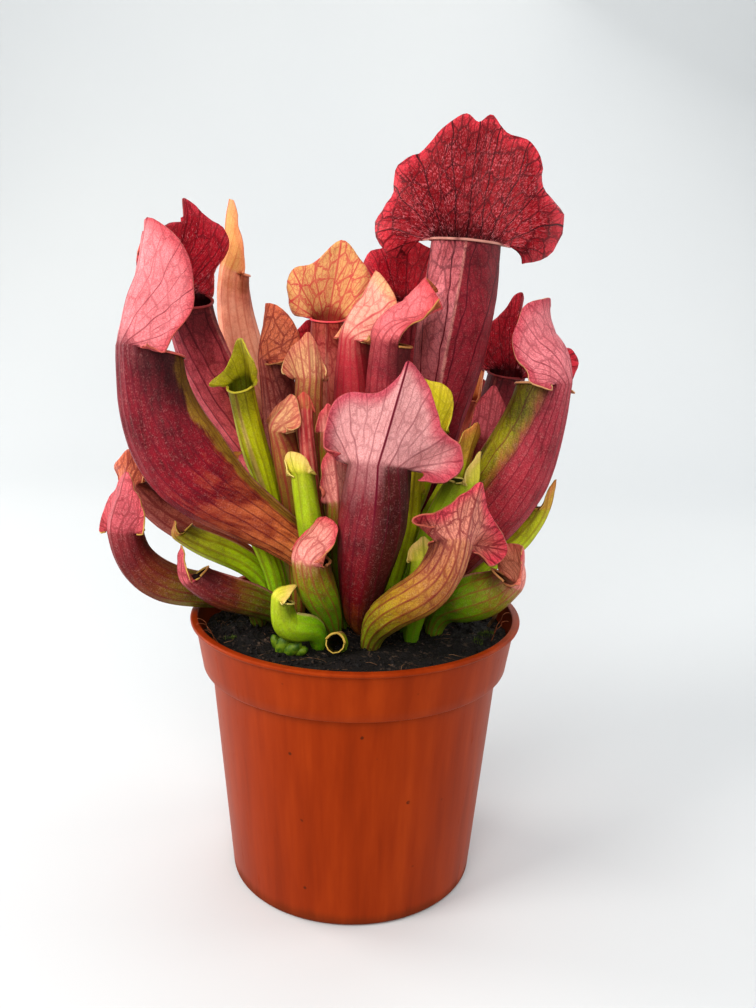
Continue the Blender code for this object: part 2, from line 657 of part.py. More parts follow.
def along(values, share):
    """A smooth curve through evenly spaced values, at a share from 0 to 1 of its length."""
    last = len(values) - 1
    index = min(int(share * last), last - 1)
    step = share * last - index
    before = values[max(index - 1, 0)]
    here = values[index]
    there = values[index + 1]
    after = values[min(index + 2, last)]
    slope_here = (there - before) / 2
    slope_there = (after - here) / 2
    square = step * step
    cube = square * step
    return (
        (2 * cube - 3 * square + 1) * here
        + (cube - 2 * square + step) * slope_here
        + (3 * square - 2 * cube) * there
        + (cube - square) * slope_there
    )


class Pitcher:
    """One trumpet leaf as a sheet of points.

    point(u, stage) goes round the leaf with u from -1 to 1, from the front seam over the back
    to the seam again. The stage is -1 at the root's end, 0 to 1 from the foot up to the mouth,
    and 1 to 2 from the mouth's back out to the hood's margin, where only the columns with u
    up to carry run on.
    """

    def __init__(self, plan):
        self.plan = plan
        self.hood = {**HOOD, **plan["hood"]}
        columns, hood_columns, _, _ = GRIDS[plan["size"]]
        self.carry = hood_columns / columns
        foot = plan["spine"][0]
        level = soil_height(*foot)
        self.spine = [Vector((*foot, level + FOOT_RISE))] + [Vector(place) for place in plan["spine"][1:]]
        azimuth = math.radians(plan["face"])
        self.towards = Vector((math.cos(azimuth), math.sin(azimuth), 1.0))

    def centre(self, share):
        first, second, third, fourth = self.spine
        rest = 1 - share
        return (
            rest**3 * first
            + 3 * rest**2 * share * second
            + 3 * rest * share**2 * third
            + share**3 * fourth
        )

    def heading(self, share):
        first, second, third, fourth = self.spine
        rest = 1 - share
        slope = (
            rest**2 * (second - first)
            + 2 * rest * share * (third - second)
            + share**2 * (fourth - third)
        )
        return slope.normalized()

    def frame(self, share):
        """The tube's centre, and its directions up, to the front and to the side."""
        up = self.heading(share)
        front = (self.towards - self.towards.dot(up) * up).normalized()
        return self.centre(share), up, front, up.cross(front)

    def angle(self, u, share):
        """The angle round the tube from its back. Near the mouth the hood's columns keep to the neck."""
        even = math.pi * u
        neck = math.radians(self.hood["neck"])
        part = abs(u) / self.carry
        if part <= 1:
            gathered = neck * part
        else:
            gathered = neck + (math.pi - neck) * (abs(u) - self.carry) / (1 - self.carry)
        blend = max(0.0, 2 * share - 1) ** 2
        return even + (math.copysign(gathered, u) - even) * blend

    def slope(self, angle):
        """How much the mouth's rim rises from the lip to this angle."""
        return self.hood["rise"] * (1 + math.cos(angle)) / 2

    def tube_point(self, u, share):
        centre, up, front, side = self.frame(share)
        angle = self.angle(u, share)
        radius = along(self.plan["girth"], share) * (1 + KEEL * (abs(u) > 0.99))
        out = -front * math.cos(angle) + side * math.sin(angle)
        return centre + up * self.slope(angle) * share**6 + out * radius

    def outline(self, u):
        """The hood's margin laid flat: across and up from the neck."""
        hood = self.hood
        if hood["margin"]:
            share = (u + 1) / 2
            across = [place[0] for place in hood["margin"]]
            up = [place[1] for place in hood["margin"]]
            return along(across, share), along(up, share)
        angle = u * math.radians(hood["spread"])
        across = math.copysign(abs(math.sin(angle)) ** hood["full"], u)
        up = math.cos(angle)
        cut = 1 - hood["hollow"] * math.sin(2 * angle) ** 2 * (up > 0)
        wave = 1 + 0.04 * hood["ruffle"] * math.cos(2 * hood["waves"] * angle + hood["phase"])
        x = hood["width"] * across * cut * wave + hood["skew"] * max(up, 0.0) ** 2
        if up > 0:
            y = hood["height"] * up ** hood["full"] * cut * wave
            y += hood["tip"] * math.exp(-((angle / 0.3) ** 2))
        else:
            y = hood["drop"] * up / -math.cos(math.radians(hood["spread"]))
        return x, y

    def hood_point(self, u, share):
        """A point between the neck and the margin: first laid flat, then rolled, curled and tilted."""
        hood = self.hood
        centre, up, front, side = self.frame(1.0)
        radius = self.plan["girth"][-1]
        neck_angle = math.radians(hood["neck"]) * u
        neck_x = radius * neck_angle
        neck_depth = radius * (1 - math.cos(neck_angle))
        edge_x, edge_y = self.outline(u)
        rest = 1 - share
        middle_x = 0.6 * neck_x + 0.4 * edge_x
        middle_y = max(0.35 * edge_y, 0.0)
        x = rest**2 * neck_x + 2 * rest * share * middle_x + share**2 * edge_x
        y = 2 * rest * share * middle_y + share**2 * edge_y
        bend = (rest + share * max(hood["wrap"], 0.01)) / radius
        sideways = math.sin(bend * x) / bend
        depth = (1 - math.cos(bend * x)) / bend - neck_depth
        wave = math.sin(hood["waves"] * u * math.radians(hood["spread"]) + hood["phase"])
        depth += hood["forward"] * share * (2 - share) + hood["ruffle"] * share**2 * wave * abs(u)
        depth -= hood["hook"] * max(0.0, 4 * y / hood["height"] - 3) ** 2
        lift = y
        if y > 0 and hood["lean"]:
            curl = math.radians(hood["lean"]) / hood["height"]
            lift = math.sin(curl * y) / curl - depth * math.sin(curl * y)
            depth = (1 - math.cos(curl * y)) / curl + depth * math.cos(curl * y)
        turn = math.radians(hood["tilt"]) * min(1.0, 1.5 * share)
        up_share = lift * math.cos(turn) - depth * math.sin(turn) + self.slope(neck_angle)
        front_share = lift * math.sin(turn) + depth * math.cos(turn) + neck_depth - radius
        flare = hood["flare"] * share * (2 - share) * max(0.0, 2.5 * abs(u) - 1.5) ** 1.5
        sideways += flare * math.sin(neck_angle)
        front_share -= flare * math.cos(neck_angle)
        return centre + side * sideways + up * up_share + front * front_share

    def point(self, u, stage):
        if stage < 0:
            return self.centre(0.0) - self.heading(0.0) * ROOT_DEPTH
        if stage <= 1:
            return self.tube_point(u, stage)
        return self.hood_point(u / self.carry, stage - 1)


def make_pitcher(plan, parts, cutters):
    """A grid wrapped round the leaf's form, opened at the front above the lip, then given its wall."""
    leaf = Pitcher(plan)
    columns, hood_columns, tube_rows, hood_rows = GRIDS[plan["size"]]
    rows = [-1.0] + [row / tube_rows for row in range(tube_rows + 1)]
    if not plan.get("cut"):
        rows += [1 + (row + 1) / hood_rows for row in range(hood_rows)]
    last = len(rows) - 1
    foot = leaf.spine[0]
    work = bmesh.new()
    bmesh.ops.create_grid(work, x_segments=columns, y_segments=last, size=1.0)
    mouth = 2 * (tube_rows + 1) / last - 1
    front = []
    for face in work.faces:
        middle = face.calc_center_median()
        if middle.y > mouth and abs(middle.x) > leaf.carry:
            front.append(face)
    bmesh.ops.delete(work, geom=front, context="FACES")
    for point in work.verts:
        stage = rows[round((point.co.y + 1) / 2 * last)]
        point.co = leaf.point(point.co.x, stage) - foot
    bmesh.ops.remove_doubles(work, verts=work.verts, dist=WELD)
    bmesh.ops.triangulate(work, faces=work.faces, quad_method="SHORT_EDGE")
    bmesh.ops.recalc_face_normals(work, faces=work.faces)
    bmesh.ops.scale(work, vec=(MM, MM, MM), verts=work.verts)
    name = plan["name"]
    flesh = new_material(name, plan["colour"], 0.45)
    obj = add_object(name, mesh_from(work, name), parts, flesh)
    obj.location = foot * MM
    obj.data.shade_smooth()
    wall = obj.modifiers.new("wall", "SOLIDIFY")
    wall.thickness = LEAF_WALL * MM
    wall.offset = 0.0

    heading = leaf.heading(0.0)
    low = foot - heading * (ROOT_DEPTH + GAP + LEAF_WALL)
    high = foot + heading * HOLE_HEADROOM
    radius = (plan["girth"][0] + LEAF_WALL / 2 + GAP) / math.cos(math.pi / HOLE_SIDES)
    add_cutter(f"hole_{name}", low, high, radius, HOLE_SIDES, cutters)


def main():
    clear_scene()
    parts = new_collection("potted_pitcher_plant")
    pot_cutters = new_collection("pot_cutters")
    soil_cutters = new_collection("soil_cutters")
    make_pot(parts, pot_cutters)
    for plan in PITCHERS:
        make_pitcher(plan, parts, soil_cutters)
    make_soil(parts, soil_cutters)


main()
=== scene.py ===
# %% [markdown]
# # A potted trumpet pitcher plant
#
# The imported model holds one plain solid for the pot, one for the soil and one for each leaf. They
# have the right form and size, but too few faces and no surface of their own. This script builds a
# finer piece over each of them and gives it the finish of the real thing. It is a lesson in cells:
# each step says what a piece is, how it could be made and why this way was chosen.
#
# Lengths are written in millimetres, and MM turns them into Blender's metres.

import json
import math
import random
from collections import namedtuple

import bmesh
import bpy
from mathutils import Matrix, Vector, noise

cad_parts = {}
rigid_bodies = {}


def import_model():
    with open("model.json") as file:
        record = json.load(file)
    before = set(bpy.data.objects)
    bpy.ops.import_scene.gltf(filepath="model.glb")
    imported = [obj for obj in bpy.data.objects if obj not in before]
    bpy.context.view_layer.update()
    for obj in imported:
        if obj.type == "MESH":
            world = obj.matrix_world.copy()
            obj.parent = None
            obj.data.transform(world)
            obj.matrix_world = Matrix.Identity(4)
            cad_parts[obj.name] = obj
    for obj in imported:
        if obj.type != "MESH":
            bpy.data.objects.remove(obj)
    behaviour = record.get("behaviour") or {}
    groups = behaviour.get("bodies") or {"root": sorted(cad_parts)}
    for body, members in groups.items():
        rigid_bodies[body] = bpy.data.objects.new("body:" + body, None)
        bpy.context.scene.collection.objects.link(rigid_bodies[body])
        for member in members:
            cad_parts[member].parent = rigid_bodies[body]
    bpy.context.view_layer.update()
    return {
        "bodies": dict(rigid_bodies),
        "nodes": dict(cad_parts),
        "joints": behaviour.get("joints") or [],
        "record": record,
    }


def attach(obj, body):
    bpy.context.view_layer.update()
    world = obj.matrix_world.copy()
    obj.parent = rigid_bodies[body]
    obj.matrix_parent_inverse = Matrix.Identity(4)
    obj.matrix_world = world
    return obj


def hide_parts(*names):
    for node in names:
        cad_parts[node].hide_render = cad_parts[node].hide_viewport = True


MM = 0.001
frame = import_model()
print("solids in the packed model:", len(frame["nodes"]))

# %% [markdown]
# ## Small helpers for meshes
#
# Every piece is built in a bmesh, in millimetres, and turned into an object at the origin with its
# place in its mesh. Its normals are made to point outwards before that, and smooth shading is set
# on the faces. A piece then rides on the part's only body, and the solid that it stands for is
# hidden.

# %% From a bmesh to a finished piece
def finished(work, name, materials, node=None, smooth=True):
    bmesh.ops.scale(work, vec=(MM, MM, MM), verts=work.verts)
    for face in work.faces:
        face.smooth = smooth
    mesh = bpy.data.meshes.new(name)
    work.to_mesh(mesh)
    work.free()
    for material in materials:
        mesh.materials.append(material)
    piece = bpy.data.objects.new(name, mesh)
    bpy.context.scene.collection.objects.link(piece)
    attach(piece, "root")
    if node:
        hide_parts(node)
    return piece


# %% [markdown]
# ## Materials as sums
#
# A leaf's colour is a stack of masks: how near a vein is, how near the margin is, how much a patch
# is blushed. In the node editor that would be dozens of Math nodes joined by hand. Here a small
# class stands for one socket, and the signs + - * / on it add the Math nodes. Every other node comes
# from one method that takes its type, its settings and the values of its sockets.

# %% A socket that takes part in sums
class Value:
    """One output socket, on which + - * / and a few other sums add Math nodes."""

    def __init__(self, finish, socket):
        self.finish = finish
        self.socket = socket

    def math(self, operation, *terms):
        sockets = dict(enumerate(terms))
        return self.finish.node("ShaderNodeMath", {"operation": operation}, sockets)

    def __add__(self, other):
        return self.math("ADD", self, other)

    def __radd__(self, other):
        return self.math("ADD", other, self)

    def __sub__(self, other):
        return self.math("SUBTRACT", self, other)

    def __rsub__(self, other):
        return self.math("SUBTRACT", other, self)

    def __mul__(self, other):
        return self.math("MULTIPLY", self, other)

    def __rmul__(self, other):
        return self.math("MULTIPLY", other, self)

    def __truediv__(self, other):
        return self.math("DIVIDE", self, other)

    def absolute(self):
        return self.math("ABSOLUTE", self)

    def at_most(self, other):
        return self.math("MINIMUM", self, other)

    def at_least(self, other):
        return self.math("MAXIMUM", self, other)

    def to_nearest(self):
        """How far the value is from the nearest whole number."""
        return (self - self.math("ROUND", self)).absolute()


# %% [markdown]
# Colours are written as a screen shows them, from 0 to 255, because that is how they are read off
# a plant. A shader wants the linear amount of light, so one function converts them. The class
# Finish then holds a material under construction, with a method for each kind of mask or noise.

# %% A material under construction
def light_of(red, green, blue):
    """The linear colour that a shader needs for a colour as a screen shows it, from 0 to 255."""
    linear = []
    for level in (red, green, blue):
        part = level / 255
        linear.append(part / 12.92 if part <= 0.04045 else ((part + 0.055) / 1.055) ** 2.4)
    return (*linear, 1.0)


class Finish:
    """A material, and the nodes that feed its one Principled shader."""

    def __init__(self, name, constants):
        self.material = bpy.data.materials.new(name)
        self.material.use_nodes = True
        self.tree = self.material.node_tree
        self.shader = self.tree.nodes["Principled BSDF"]
        for socket, value in constants.items():
            self.shader.inputs[socket].default_value = value

    def node(self, kind, settings=None, sockets=None, output=0):
        """Any node: its type, its settings, what its sockets get, and which output is wanted."""
        node = self.tree.nodes.new(kind)
        for key, value in (settings or {}).items():
            if key == "stops":
                stops = node.color_ramp.elements
                while len(stops) < len(value):
                    stops.new(0.5)
                for stop, (place, colour) in zip(stops, value):
                    stop.position = place
                for stop, (place, colour) in zip(stops, value):
                    stop.color = colour
            else:
                setattr(node, key, value)
        for key, value in (sockets or {}).items():
            self.feed(node.inputs[key], value)
        return Value(self, node.outputs[output])

    def feed(self, socket, value):
        if isinstance(value, Value):
            self.tree.links.new(value.socket, socket)
        else:
            socket.default_value = value

    def surface(self, **sockets):
        for key, value in sockets.items():
            self.feed(self.shader.inputs[key.replace("_", " ")], value)

    def attribute(self, name):
        """The three numbers that the mesh stores under a name."""
        vector = self.node("ShaderNodeAttribute", {"attribute_name": name}, output="Vector")
        return [self.node("ShaderNodeSeparateXYZ", None, {0: vector}, axis) for axis in range(3)]

    def place(self):
        return self.node("ShaderNodeTexCoord", output="Object")

    def scaled(self, vector, scale):
        settings = {"operation": "MULTIPLY"}
        return self.node("ShaderNodeVectorMath", settings, {0: vector, 1: scale})

    def vector(self, x, y, z=0.0):
        return self.node("ShaderNodeCombineXYZ", None, {0: x, 1: y, 2: z})

    def rise(self, value, low, high):
        """0 below low, 1 above high and a soft step in between."""
        settings = {"interpolation_type": "SMOOTHSTEP"}
        return self.node("ShaderNodeMapRange", settings, {0: value, 1: low, 2: high})

    def blend(self, share, first, second):
        return self.node("ShaderNodeMix", {"data_type": "RGBA"}, {0: share, 6: first, 7: second}, 2)

    def mixed(self, way, colour, tint):
        settings = {"data_type": "RGBA", "blend_type": way}
        return self.node("ShaderNodeMix", settings, {0: 1.0, 6: colour, 7: tint}, 2)

    def deepened(self, colour, level):
        """Darker and fuller of its own hue, as where a fold lies in its own shade."""
        return self.mixed("MULTIPLY", colour, self.blend(0.5, colour, (level, level, level, 1)))

    def clouds(self, vector, scale, detail=2.0, roughness=0.5):
        sockets = {"Vector": vector, "Scale": scale, "Detail": detail, "Roughness": roughness}
        return self.node("ShaderNodeTexNoise", None, sockets, "Fac")

    def net(self, vector, scale):
        """How far a place is from the nearest border between cells."""
        settings = {"feature": "DISTANCE_TO_EDGE", "voronoi_dimensions": "2D"}
        sockets = {"Vector": vector, "Scale": scale}
        return self.node("ShaderNodeTexVoronoi", settings, sockets, "Distance")

    def cells(self, vector, scale, output="Distance", dimensions="2D"):
        settings = {"feature": "F1", "voronoi_dimensions": dimensions}
        sockets = {"Vector": vector, "Scale": scale}
        return self.node("ShaderNodeTexVoronoi", settings, sockets, output)

    def relief(self, height, strength, depth):
        """A normal from a height, where depth is how deep a height of 1 is, in millimetres."""
        sockets = {"Height": height, "Strength": strength, "Distance": depth * MM}
        self.surface(Normal=self.node("ShaderNodeBump", None, sockets))


print("helpers ready")

# %% [markdown]
# ## The pot
#
# The real pot is moulded plastic: a tapered body, a wider band under the rim and a rolled lip. It is
# round, so one profile turned once round the Z axis gives all of it. The solid does this in 40
# steps. Here the profile gets small arcs wherever the mould has a rounded edge, and 192 steps, so
# that highlights run round it without a break. The drain holes are cut by a Boolean modifier.

# %% Dimensions of the pot
POT_HEIGHT = 75.6
RIM_RADIUS = 45.0
LIP_THICKNESS = 1.2
LIP_OVERHANG = 1.1
BAND_BOTTOM_RADIUS = 41.6
BAND_BOTTOM = 61.5
BODY_TOP_RADIUS = 39.4
BODY_BOTTOM_RADIUS = 33.9
WALL = 1.0
FLOOR = 1.4
FLOOR_MIDDLE = 15.0
FLOOR_CORNER = 1.2
INNER_EDGE = 0.4
UNDER_LIP_EDGE = 0.35
BAND_EDGE = 0.6
UNDER_BAND_EDGE = 0.3
FOOT_EDGE = 1.4
FOOT_RING = 4.0
FOOT_RECESS = 0.35
POT_STEPS = 192
DRAIN_HOLES = 8
DRAIN_HOLE_RADIUS = 3.0
DRAIN_HOLE_CIRCLE = 24.0


def pot_radius(height, outer=True):
    """The wall's radius at a height, on the body below the band and on the band above it."""
    if height <= BAND_BOTTOM:
        share = height / BAND_BOTTOM
        radius = BODY_BOTTOM_RADIUS + share * (BODY_TOP_RADIUS - BODY_BOTTOM_RADIUS)
    else:
        share = (height - BAND_BOTTOM) / (POT_HEIGHT - BAND_BOTTOM)
        band_top = RIM_RADIUS - LIP_OVERHANG
        radius = BAND_BOTTOM_RADIUS + share * (band_top - BAND_BOTTOM_RADIUS)
    return radius if outer else radius - WALL


def arc(radius, height, size, start, end, steps=5):
    """Points of a rounded edge of this size round a centre, from one angle to another in degrees."""
    points = []
    for step in range(steps + 1):
        angle = math.radians(start + (end - start) * step / steps)
        points.append((radius + size * math.cos(angle), height + size * math.sin(angle)))
    return points


print(f"pot: {2 * RIM_RADIUS:.0f} mm across, {POT_HEIGHT:.1f} mm high")

# %% [markdown]
# The profile is a list of radius and height. It starts at the floor's centre, climbs the inside,
# goes over the lip and comes down the outside to the foot. Every rounded edge is an arc of its own
# radius. The long straight stretches get a few points too, so that the faces stay near square.

# %% The pot's profile, from the floor's centre up the inside and down the outside
inner_top = pot_radius(POT_HEIGHT, outer=False)
under_lip = POT_HEIGHT - LIP_THICKNESS
half_lip = LIP_THICKNESS / 2
shoulder = BAND_BOTTOM + WALL
pot_profile = [(0.0, FLOOR), (FLOOR_MIDDLE, FLOOR)]
corner = (pot_radius(FLOOR, outer=False) - FLOOR_CORNER, FLOOR + FLOOR_CORNER)
pot_profile += arc(*corner, FLOOR_CORNER, -90, 0)
pot_profile += [(pot_radius(30, outer=False), 30.0)]
pot_profile += [(pot_radius(BAND_BOTTOM, outer=False), BAND_BOTTOM - 0.4)]
pot_profile += [(pot_radius(shoulder, outer=False), shoulder + 0.2)]
pot_profile += [(inner_top, POT_HEIGHT - 0.5)]
pot_profile += arc(inner_top + INNER_EDGE, POT_HEIGHT - INNER_EDGE, INNER_EDGE, 180, 90)
pot_profile += [(RIM_RADIUS - 0.9, POT_HEIGHT + 0.02)]
pot_profile += arc(RIM_RADIUS - half_lip, POT_HEIGHT - half_lip, half_lip, 80, -90, steps=9)
corner = (pot_radius(under_lip) + UNDER_LIP_EDGE, under_lip - UNDER_LIP_EDGE)
pot_profile += arc(*corner, UNDER_LIP_EDGE, 90, 180, steps=4)
for step in range(1, 6):
    height = under_lip - 0.4 - (under_lip - 0.4 - BAND_BOTTOM - 0.7) * step / 5
    pot_profile.append((pot_radius(height), height))
pot_profile += arc(BAND_BOTTOM_RADIUS - BAND_EDGE, BAND_BOTTOM + BAND_EDGE, BAND_EDGE, -8, -90)
corner = (BODY_TOP_RADIUS + UNDER_BAND_EDGE, BAND_BOTTOM - UNDER_BAND_EDGE)
pot_profile += arc(*corner, UNDER_BAND_EDGE, 90, 180, steps=4)
for step in range(1, 12):
    height = (BAND_BOTTOM - 0.8) - (BAND_BOTTOM - 0.8 - 2.4) * step / 11
    pot_profile.append((pot_radius(height), height))
pot_profile += arc(BODY_BOTTOM_RADIUS - FOOT_EDGE + 0.1, FOOT_EDGE, FOOT_EDGE, -8, -90, steps=6)
foot_inside = BODY_BOTTOM_RADIUS - FOOT_RING
pot_profile += [(foot_inside, 0.0), (foot_inside - 0.6, FOOT_RECESS), (0.0, FOOT_RECESS)]
print("points in the profile:", len(pot_profile))


# %% [markdown]
# One full spin of the profile makes the pot. The drain holes could be left as gaps in the floor's
# rings, but they don't follow the rings. Eight short cylinders on a circle are cut out of it instead,
# and the cut mesh is kept, so no modifier is left that would need the cutters.

# %% Turn the profile and cut the drain holes
def turned(profile, steps):
    work = bmesh.new()
    points = [work.verts.new((radius, 0.0, height)) for radius, height in profile]
    edges = [work.edges.new(pair) for pair in zip(points, points[1:])]
    bmesh.ops.spin(
        work, geom=points + edges, cent=(0, 0, 0), axis=(0, 0, 1), angle=2 * math.pi,
        steps=steps, use_merge=True,
    )
    bmesh.ops.remove_doubles(work, verts=work.verts, dist=0.005)
    bmesh.ops.recalc_face_normals(work, faces=work.faces)
    return work


def drain_cutter():
    work = bmesh.new()
    for index in range(DRAIN_HOLES):
        turn = Matrix.Rotation(2 * math.pi * index / DRAIN_HOLES, 4, "Z")
        place = turn @ Matrix.Translation((DRAIN_HOLE_CIRCLE, 0, 0.5))
        bmesh.ops.create_cone(
            work, cap_ends=True, segments=32, radius1=DRAIN_HOLE_RADIUS,
            radius2=DRAIN_HOLE_RADIUS, depth=6, matrix=place,
        )
    bmesh.ops.scale(work, vec=(MM, MM, MM), verts=work.verts)
    mesh = bpy.data.meshes.new("drain_cutter")
    work.to_mesh(mesh)
    work.free()
    return bpy.data.objects.new("drain_cutter", mesh)


def cut_for_good(piece, cutter):
    """Cuts, keeps the cut mesh and removes the cutter."""
    bpy.context.scene.collection.objects.link(cutter)
    cut = piece.modifiers.new("cut", "BOOLEAN")
    cut.object = cutter
    cut.solver = "EXACT"
    bpy.context.view_layer.update()
    graph = bpy.context.evaluated_depsgraph_get()
    mesh = bpy.data.meshes.new_from_object(piece.evaluated_get(graph))
    piece.modifiers.clear()
    piece.data = mesh
    bpy.data.objects.remove(cutter)


# %% [markdown]
# ## The pot's plastic
#
# The plastic is a burnt orange with a soft gloss. Up close it has faint upright streaks from the
# mould, some scuffs, a few dark specks of peat and a dull line of dirt round its foot. Noise that is
# stretched along Z gives the streaks, and the height above the ground gives the dirt.

# %% Terracotta plastic
def terracotta_plastic():
    finish = Finish(
        "terracotta plastic", {"Specular IOR Level": 0.2, "Specular Tint": (1.0, 0.5, 0.22, 1.0)}
    )
    place = finish.place()
    height = finish.node("ShaderNodeSeparateXYZ", None, {0: place}, 2) / MM
    streaks = finish.clouds(finish.scaled(place, (160, 160, 9)), 1.0, 4, 0.6)
    patches = finish.clouds(finish.scaled(place, (30, 30, 24)), 1.0, 3)
    colour = finish.blend(patches, light_of(138, 46, 8), light_of(152, 54, 10))
    colour = finish.blend(finish.rise(streaks, 0.45, 0.75) * 0.5, colour, light_of(174, 70, 18))
    colour = finish.blend(finish.rise(streaks, 0.52, 0.3) * 0.35, colour, light_of(112, 32, 4))
    foot = 1 - finish.rise(height + 5 * (patches - 0.5) + 3 * (streaks - 0.5), 0.6, 4.5)
    colour = finish.blend(foot * 0.55, colour, light_of(88, 42, 20))
    speck_size = finish.clouds(place, 190)
    specks = finish.cells(place, 145, dimensions="3D")
    dots = (1 - finish.rise(specks, 0.05, 0.1)) * finish.rise(speck_size, 0.5, 0.56)
    colour = finish.blend(dots * 0.75, colour, light_of(60, 28, 16))
    scuffs = finish.rise(finish.clouds(finish.scaled(place, (900, 900, 70)), 1.0, 3, 0.7), 0.6, 0.72)
    finish.surface(
        Base_Color=colour,
        Roughness=0.34 + 0.12 * patches + 0.16 * scuffs + 0.25 * foot,
    )
    grain = finish.clouds(place, 2600, 2)
    finish.relief(grain * 0.25 + streaks + scuffs * 0.4, 0.22, 0.05)
    return finish.material


work = turned(pot_profile, POT_STEPS)
pot = finished(work, "pot_turned", [terracotta_plastic()], "pot")
cut_for_good(pot, drain_cutter())
print("faces of the pot:", len(pot.data.polygons))

# %% [markdown]
# ## Soil
#
# The pot is filled with dark peat. Its surface is uneven, with crumbs, fibres and a bit of moss. A
# turned disc with many rings carries the large lumps, noise at three sizes moves its points up and
# down, and the leaves' feet stand in it. The roots' holes of the solid aren't needed here, because
# the leaves fill them.

# %% The soil's surface
SOIL_EDGE = 69.6
SOIL_LEVEL = 70.6
SOIL_BUMP = 0.35
SOIL_GAP = 0.3
SOIL_RINGS = 120
SOIL_STEPS = 220


def soil_height(x, y):
    """A low mound with uneven lumps, as in the solid."""
    share = min(1.0, math.hypot(x, y) / pot_radius(SOIL_EDGE, outer=False))
    mound = SOIL_LEVEL + (SOIL_EDGE - SOIL_LEVEL) * share**2
    lumps = math.sin(0.33 * x + 1.1) * math.cos(0.29 * y) + math.sin(0.51 * y - 0.24 * x)
    return mound + SOIL_BUMP * lumps


def crumbled(x, y):
    """The solid's surface with crumbs of three sizes on it."""
    place = Vector((x, y, 0))
    rough = 0.45 * noise.noise(place * 0.35) + 0.34 * noise.noise(place * 0.95)
    rough += 0.22 * abs(noise.noise(place * 2.3))
    return soil_height(x, y) + rough


def make_soil(material):
    edge = pot_radius(SOIL_EDGE, outer=False) - SOIL_GAP
    profile = [(edge * ring / SOIL_RINGS, SOIL_LEVEL) for ring in range(SOIL_RINGS)]
    profile += [(edge, SOIL_EDGE), (pot_radius(shoulder, outer=False) - SOIL_GAP, shoulder + 0.3)]
    profile += [(pot_radius(BAND_BOTTOM, outer=False) - SOIL_GAP, BAND_BOTTOM - 0.6)]
    profile += [(pot_radius(FLOOR, outer=False) - 1.4, FLOOR + SOIL_GAP), (0.0, FLOOR + SOIL_GAP)]
    work = turned(profile, SOIL_STEPS)
    for point in work.verts:
        if point.co.z > SOIL_EDGE - 0.3:
            point.co.z = crumbled(point.co.x, point.co.y)
    return finished(work, "soil_surface", [material], "soil")


# %% [markdown]
# Peat is almost black with paler brown and grey bits. A picture of soil would repeat. Small cells
# give each grain its own shade instead, and a strong bump makes them stand out.

# %% Peat
def peat(name, pale):
    finish = Finish(name, {"Specular IOR Level": 0.3})
    place = finish.place()
    grains = finish.cells(place, 1500, "Color", "3D")
    shade = finish.node("ShaderNodeSeparateColor", None, {0: grains}, 0)
    bits = finish.rise(shade, 0.72, 1.0) * finish.rise(finish.clouds(place, 260), 0.4, 0.7)
    colour = finish.blend(finish.clouds(place, 420, 3), light_of(9, 8, 9), light_of(38, 31, 28))
    colour = finish.blend(bits * pale, colour, light_of(104, 84, 70))
    finish.surface(Base_Color=colour, Roughness=0.86 - 0.2 * shade)
    finish.relief(finish.cells(place, 1300, dimensions="3D") + 0.6 * finish.clouds(place, 2400), 0.9, 0.35)
    return finish.material


soil = make_soil(peat("peat", 0.8))
print("faces of the soil:", len(soil.data.polygons))

# %% [markdown]
# The larger crumbs are real pieces: icospheres with three of their twelve points pushed up or down,
# each stretched and turned another way and sunk in the surface. They have twenty faces each, so nine
# hundred of them stay light.

# %% Crumbs on the peat
CRUMBS = 900
CRUMB_SIZES = (0.3, 0.35, 0.45, 0.45, 0.6, 0.85)
chance = random.Random(41)
work = bmesh.new()
for _ in range(CRUMBS):
    distance = (pot_radius(SOIL_EDGE, outer=False) - 1.6) * math.sqrt(chance.random())
    angle = chance.uniform(0, 2 * math.pi)
    x = distance * math.cos(angle)
    y = distance * math.sin(angle)
    size = chance.choice(CRUMB_SIZES)
    turn = Matrix.Rotation(chance.uniform(0, 6.28), 4, Vector((chance.random(), 1, 0.3)))
    stretch = Matrix.Diagonal((chance.uniform(0.7, 1.7), chance.uniform(0.6, 1.1), 0.75, 1))
    place = Matrix.Translation((x, y, crumbled(x, y) + 0.2 * size)) @ turn @ stretch
    made = bmesh.ops.create_icosphere(work, subdivisions=1, radius=size, matrix=place)
    for point in made["verts"][::4]:
        point.co.z += chance.uniform(-0.2, 0.35) * size
crumbs = finished(work, "soil_crumbs", [peat("peat crumbs", 1.0)], smooth=False)
print("crumbs:", CRUMBS, "faces:", len(crumbs.data.polygons))

# %% [markdown]
# ## What a pitcher leaf is
#
# Each leaf of this plant is a trumpet: a sheet that is rolled into a tube, sewn up along a seam at
# its front, and drawn out at its back into a hood with a wavy margin. The mouth's front edge is
# rolled outwards into a lip. All of them follow one rule from a few numbers each, the same rule and
# numbers as in the solids, so each finer leaf lies on its solid.
#
# A point of the sheet has two addresses. The first, u, goes round the leaf from -1 at the seam over
# 0 at the back to 1 at the seam again. The second, the stage, is 0 at the foot, 1 at the mouth and 2
# on the hood's margin.

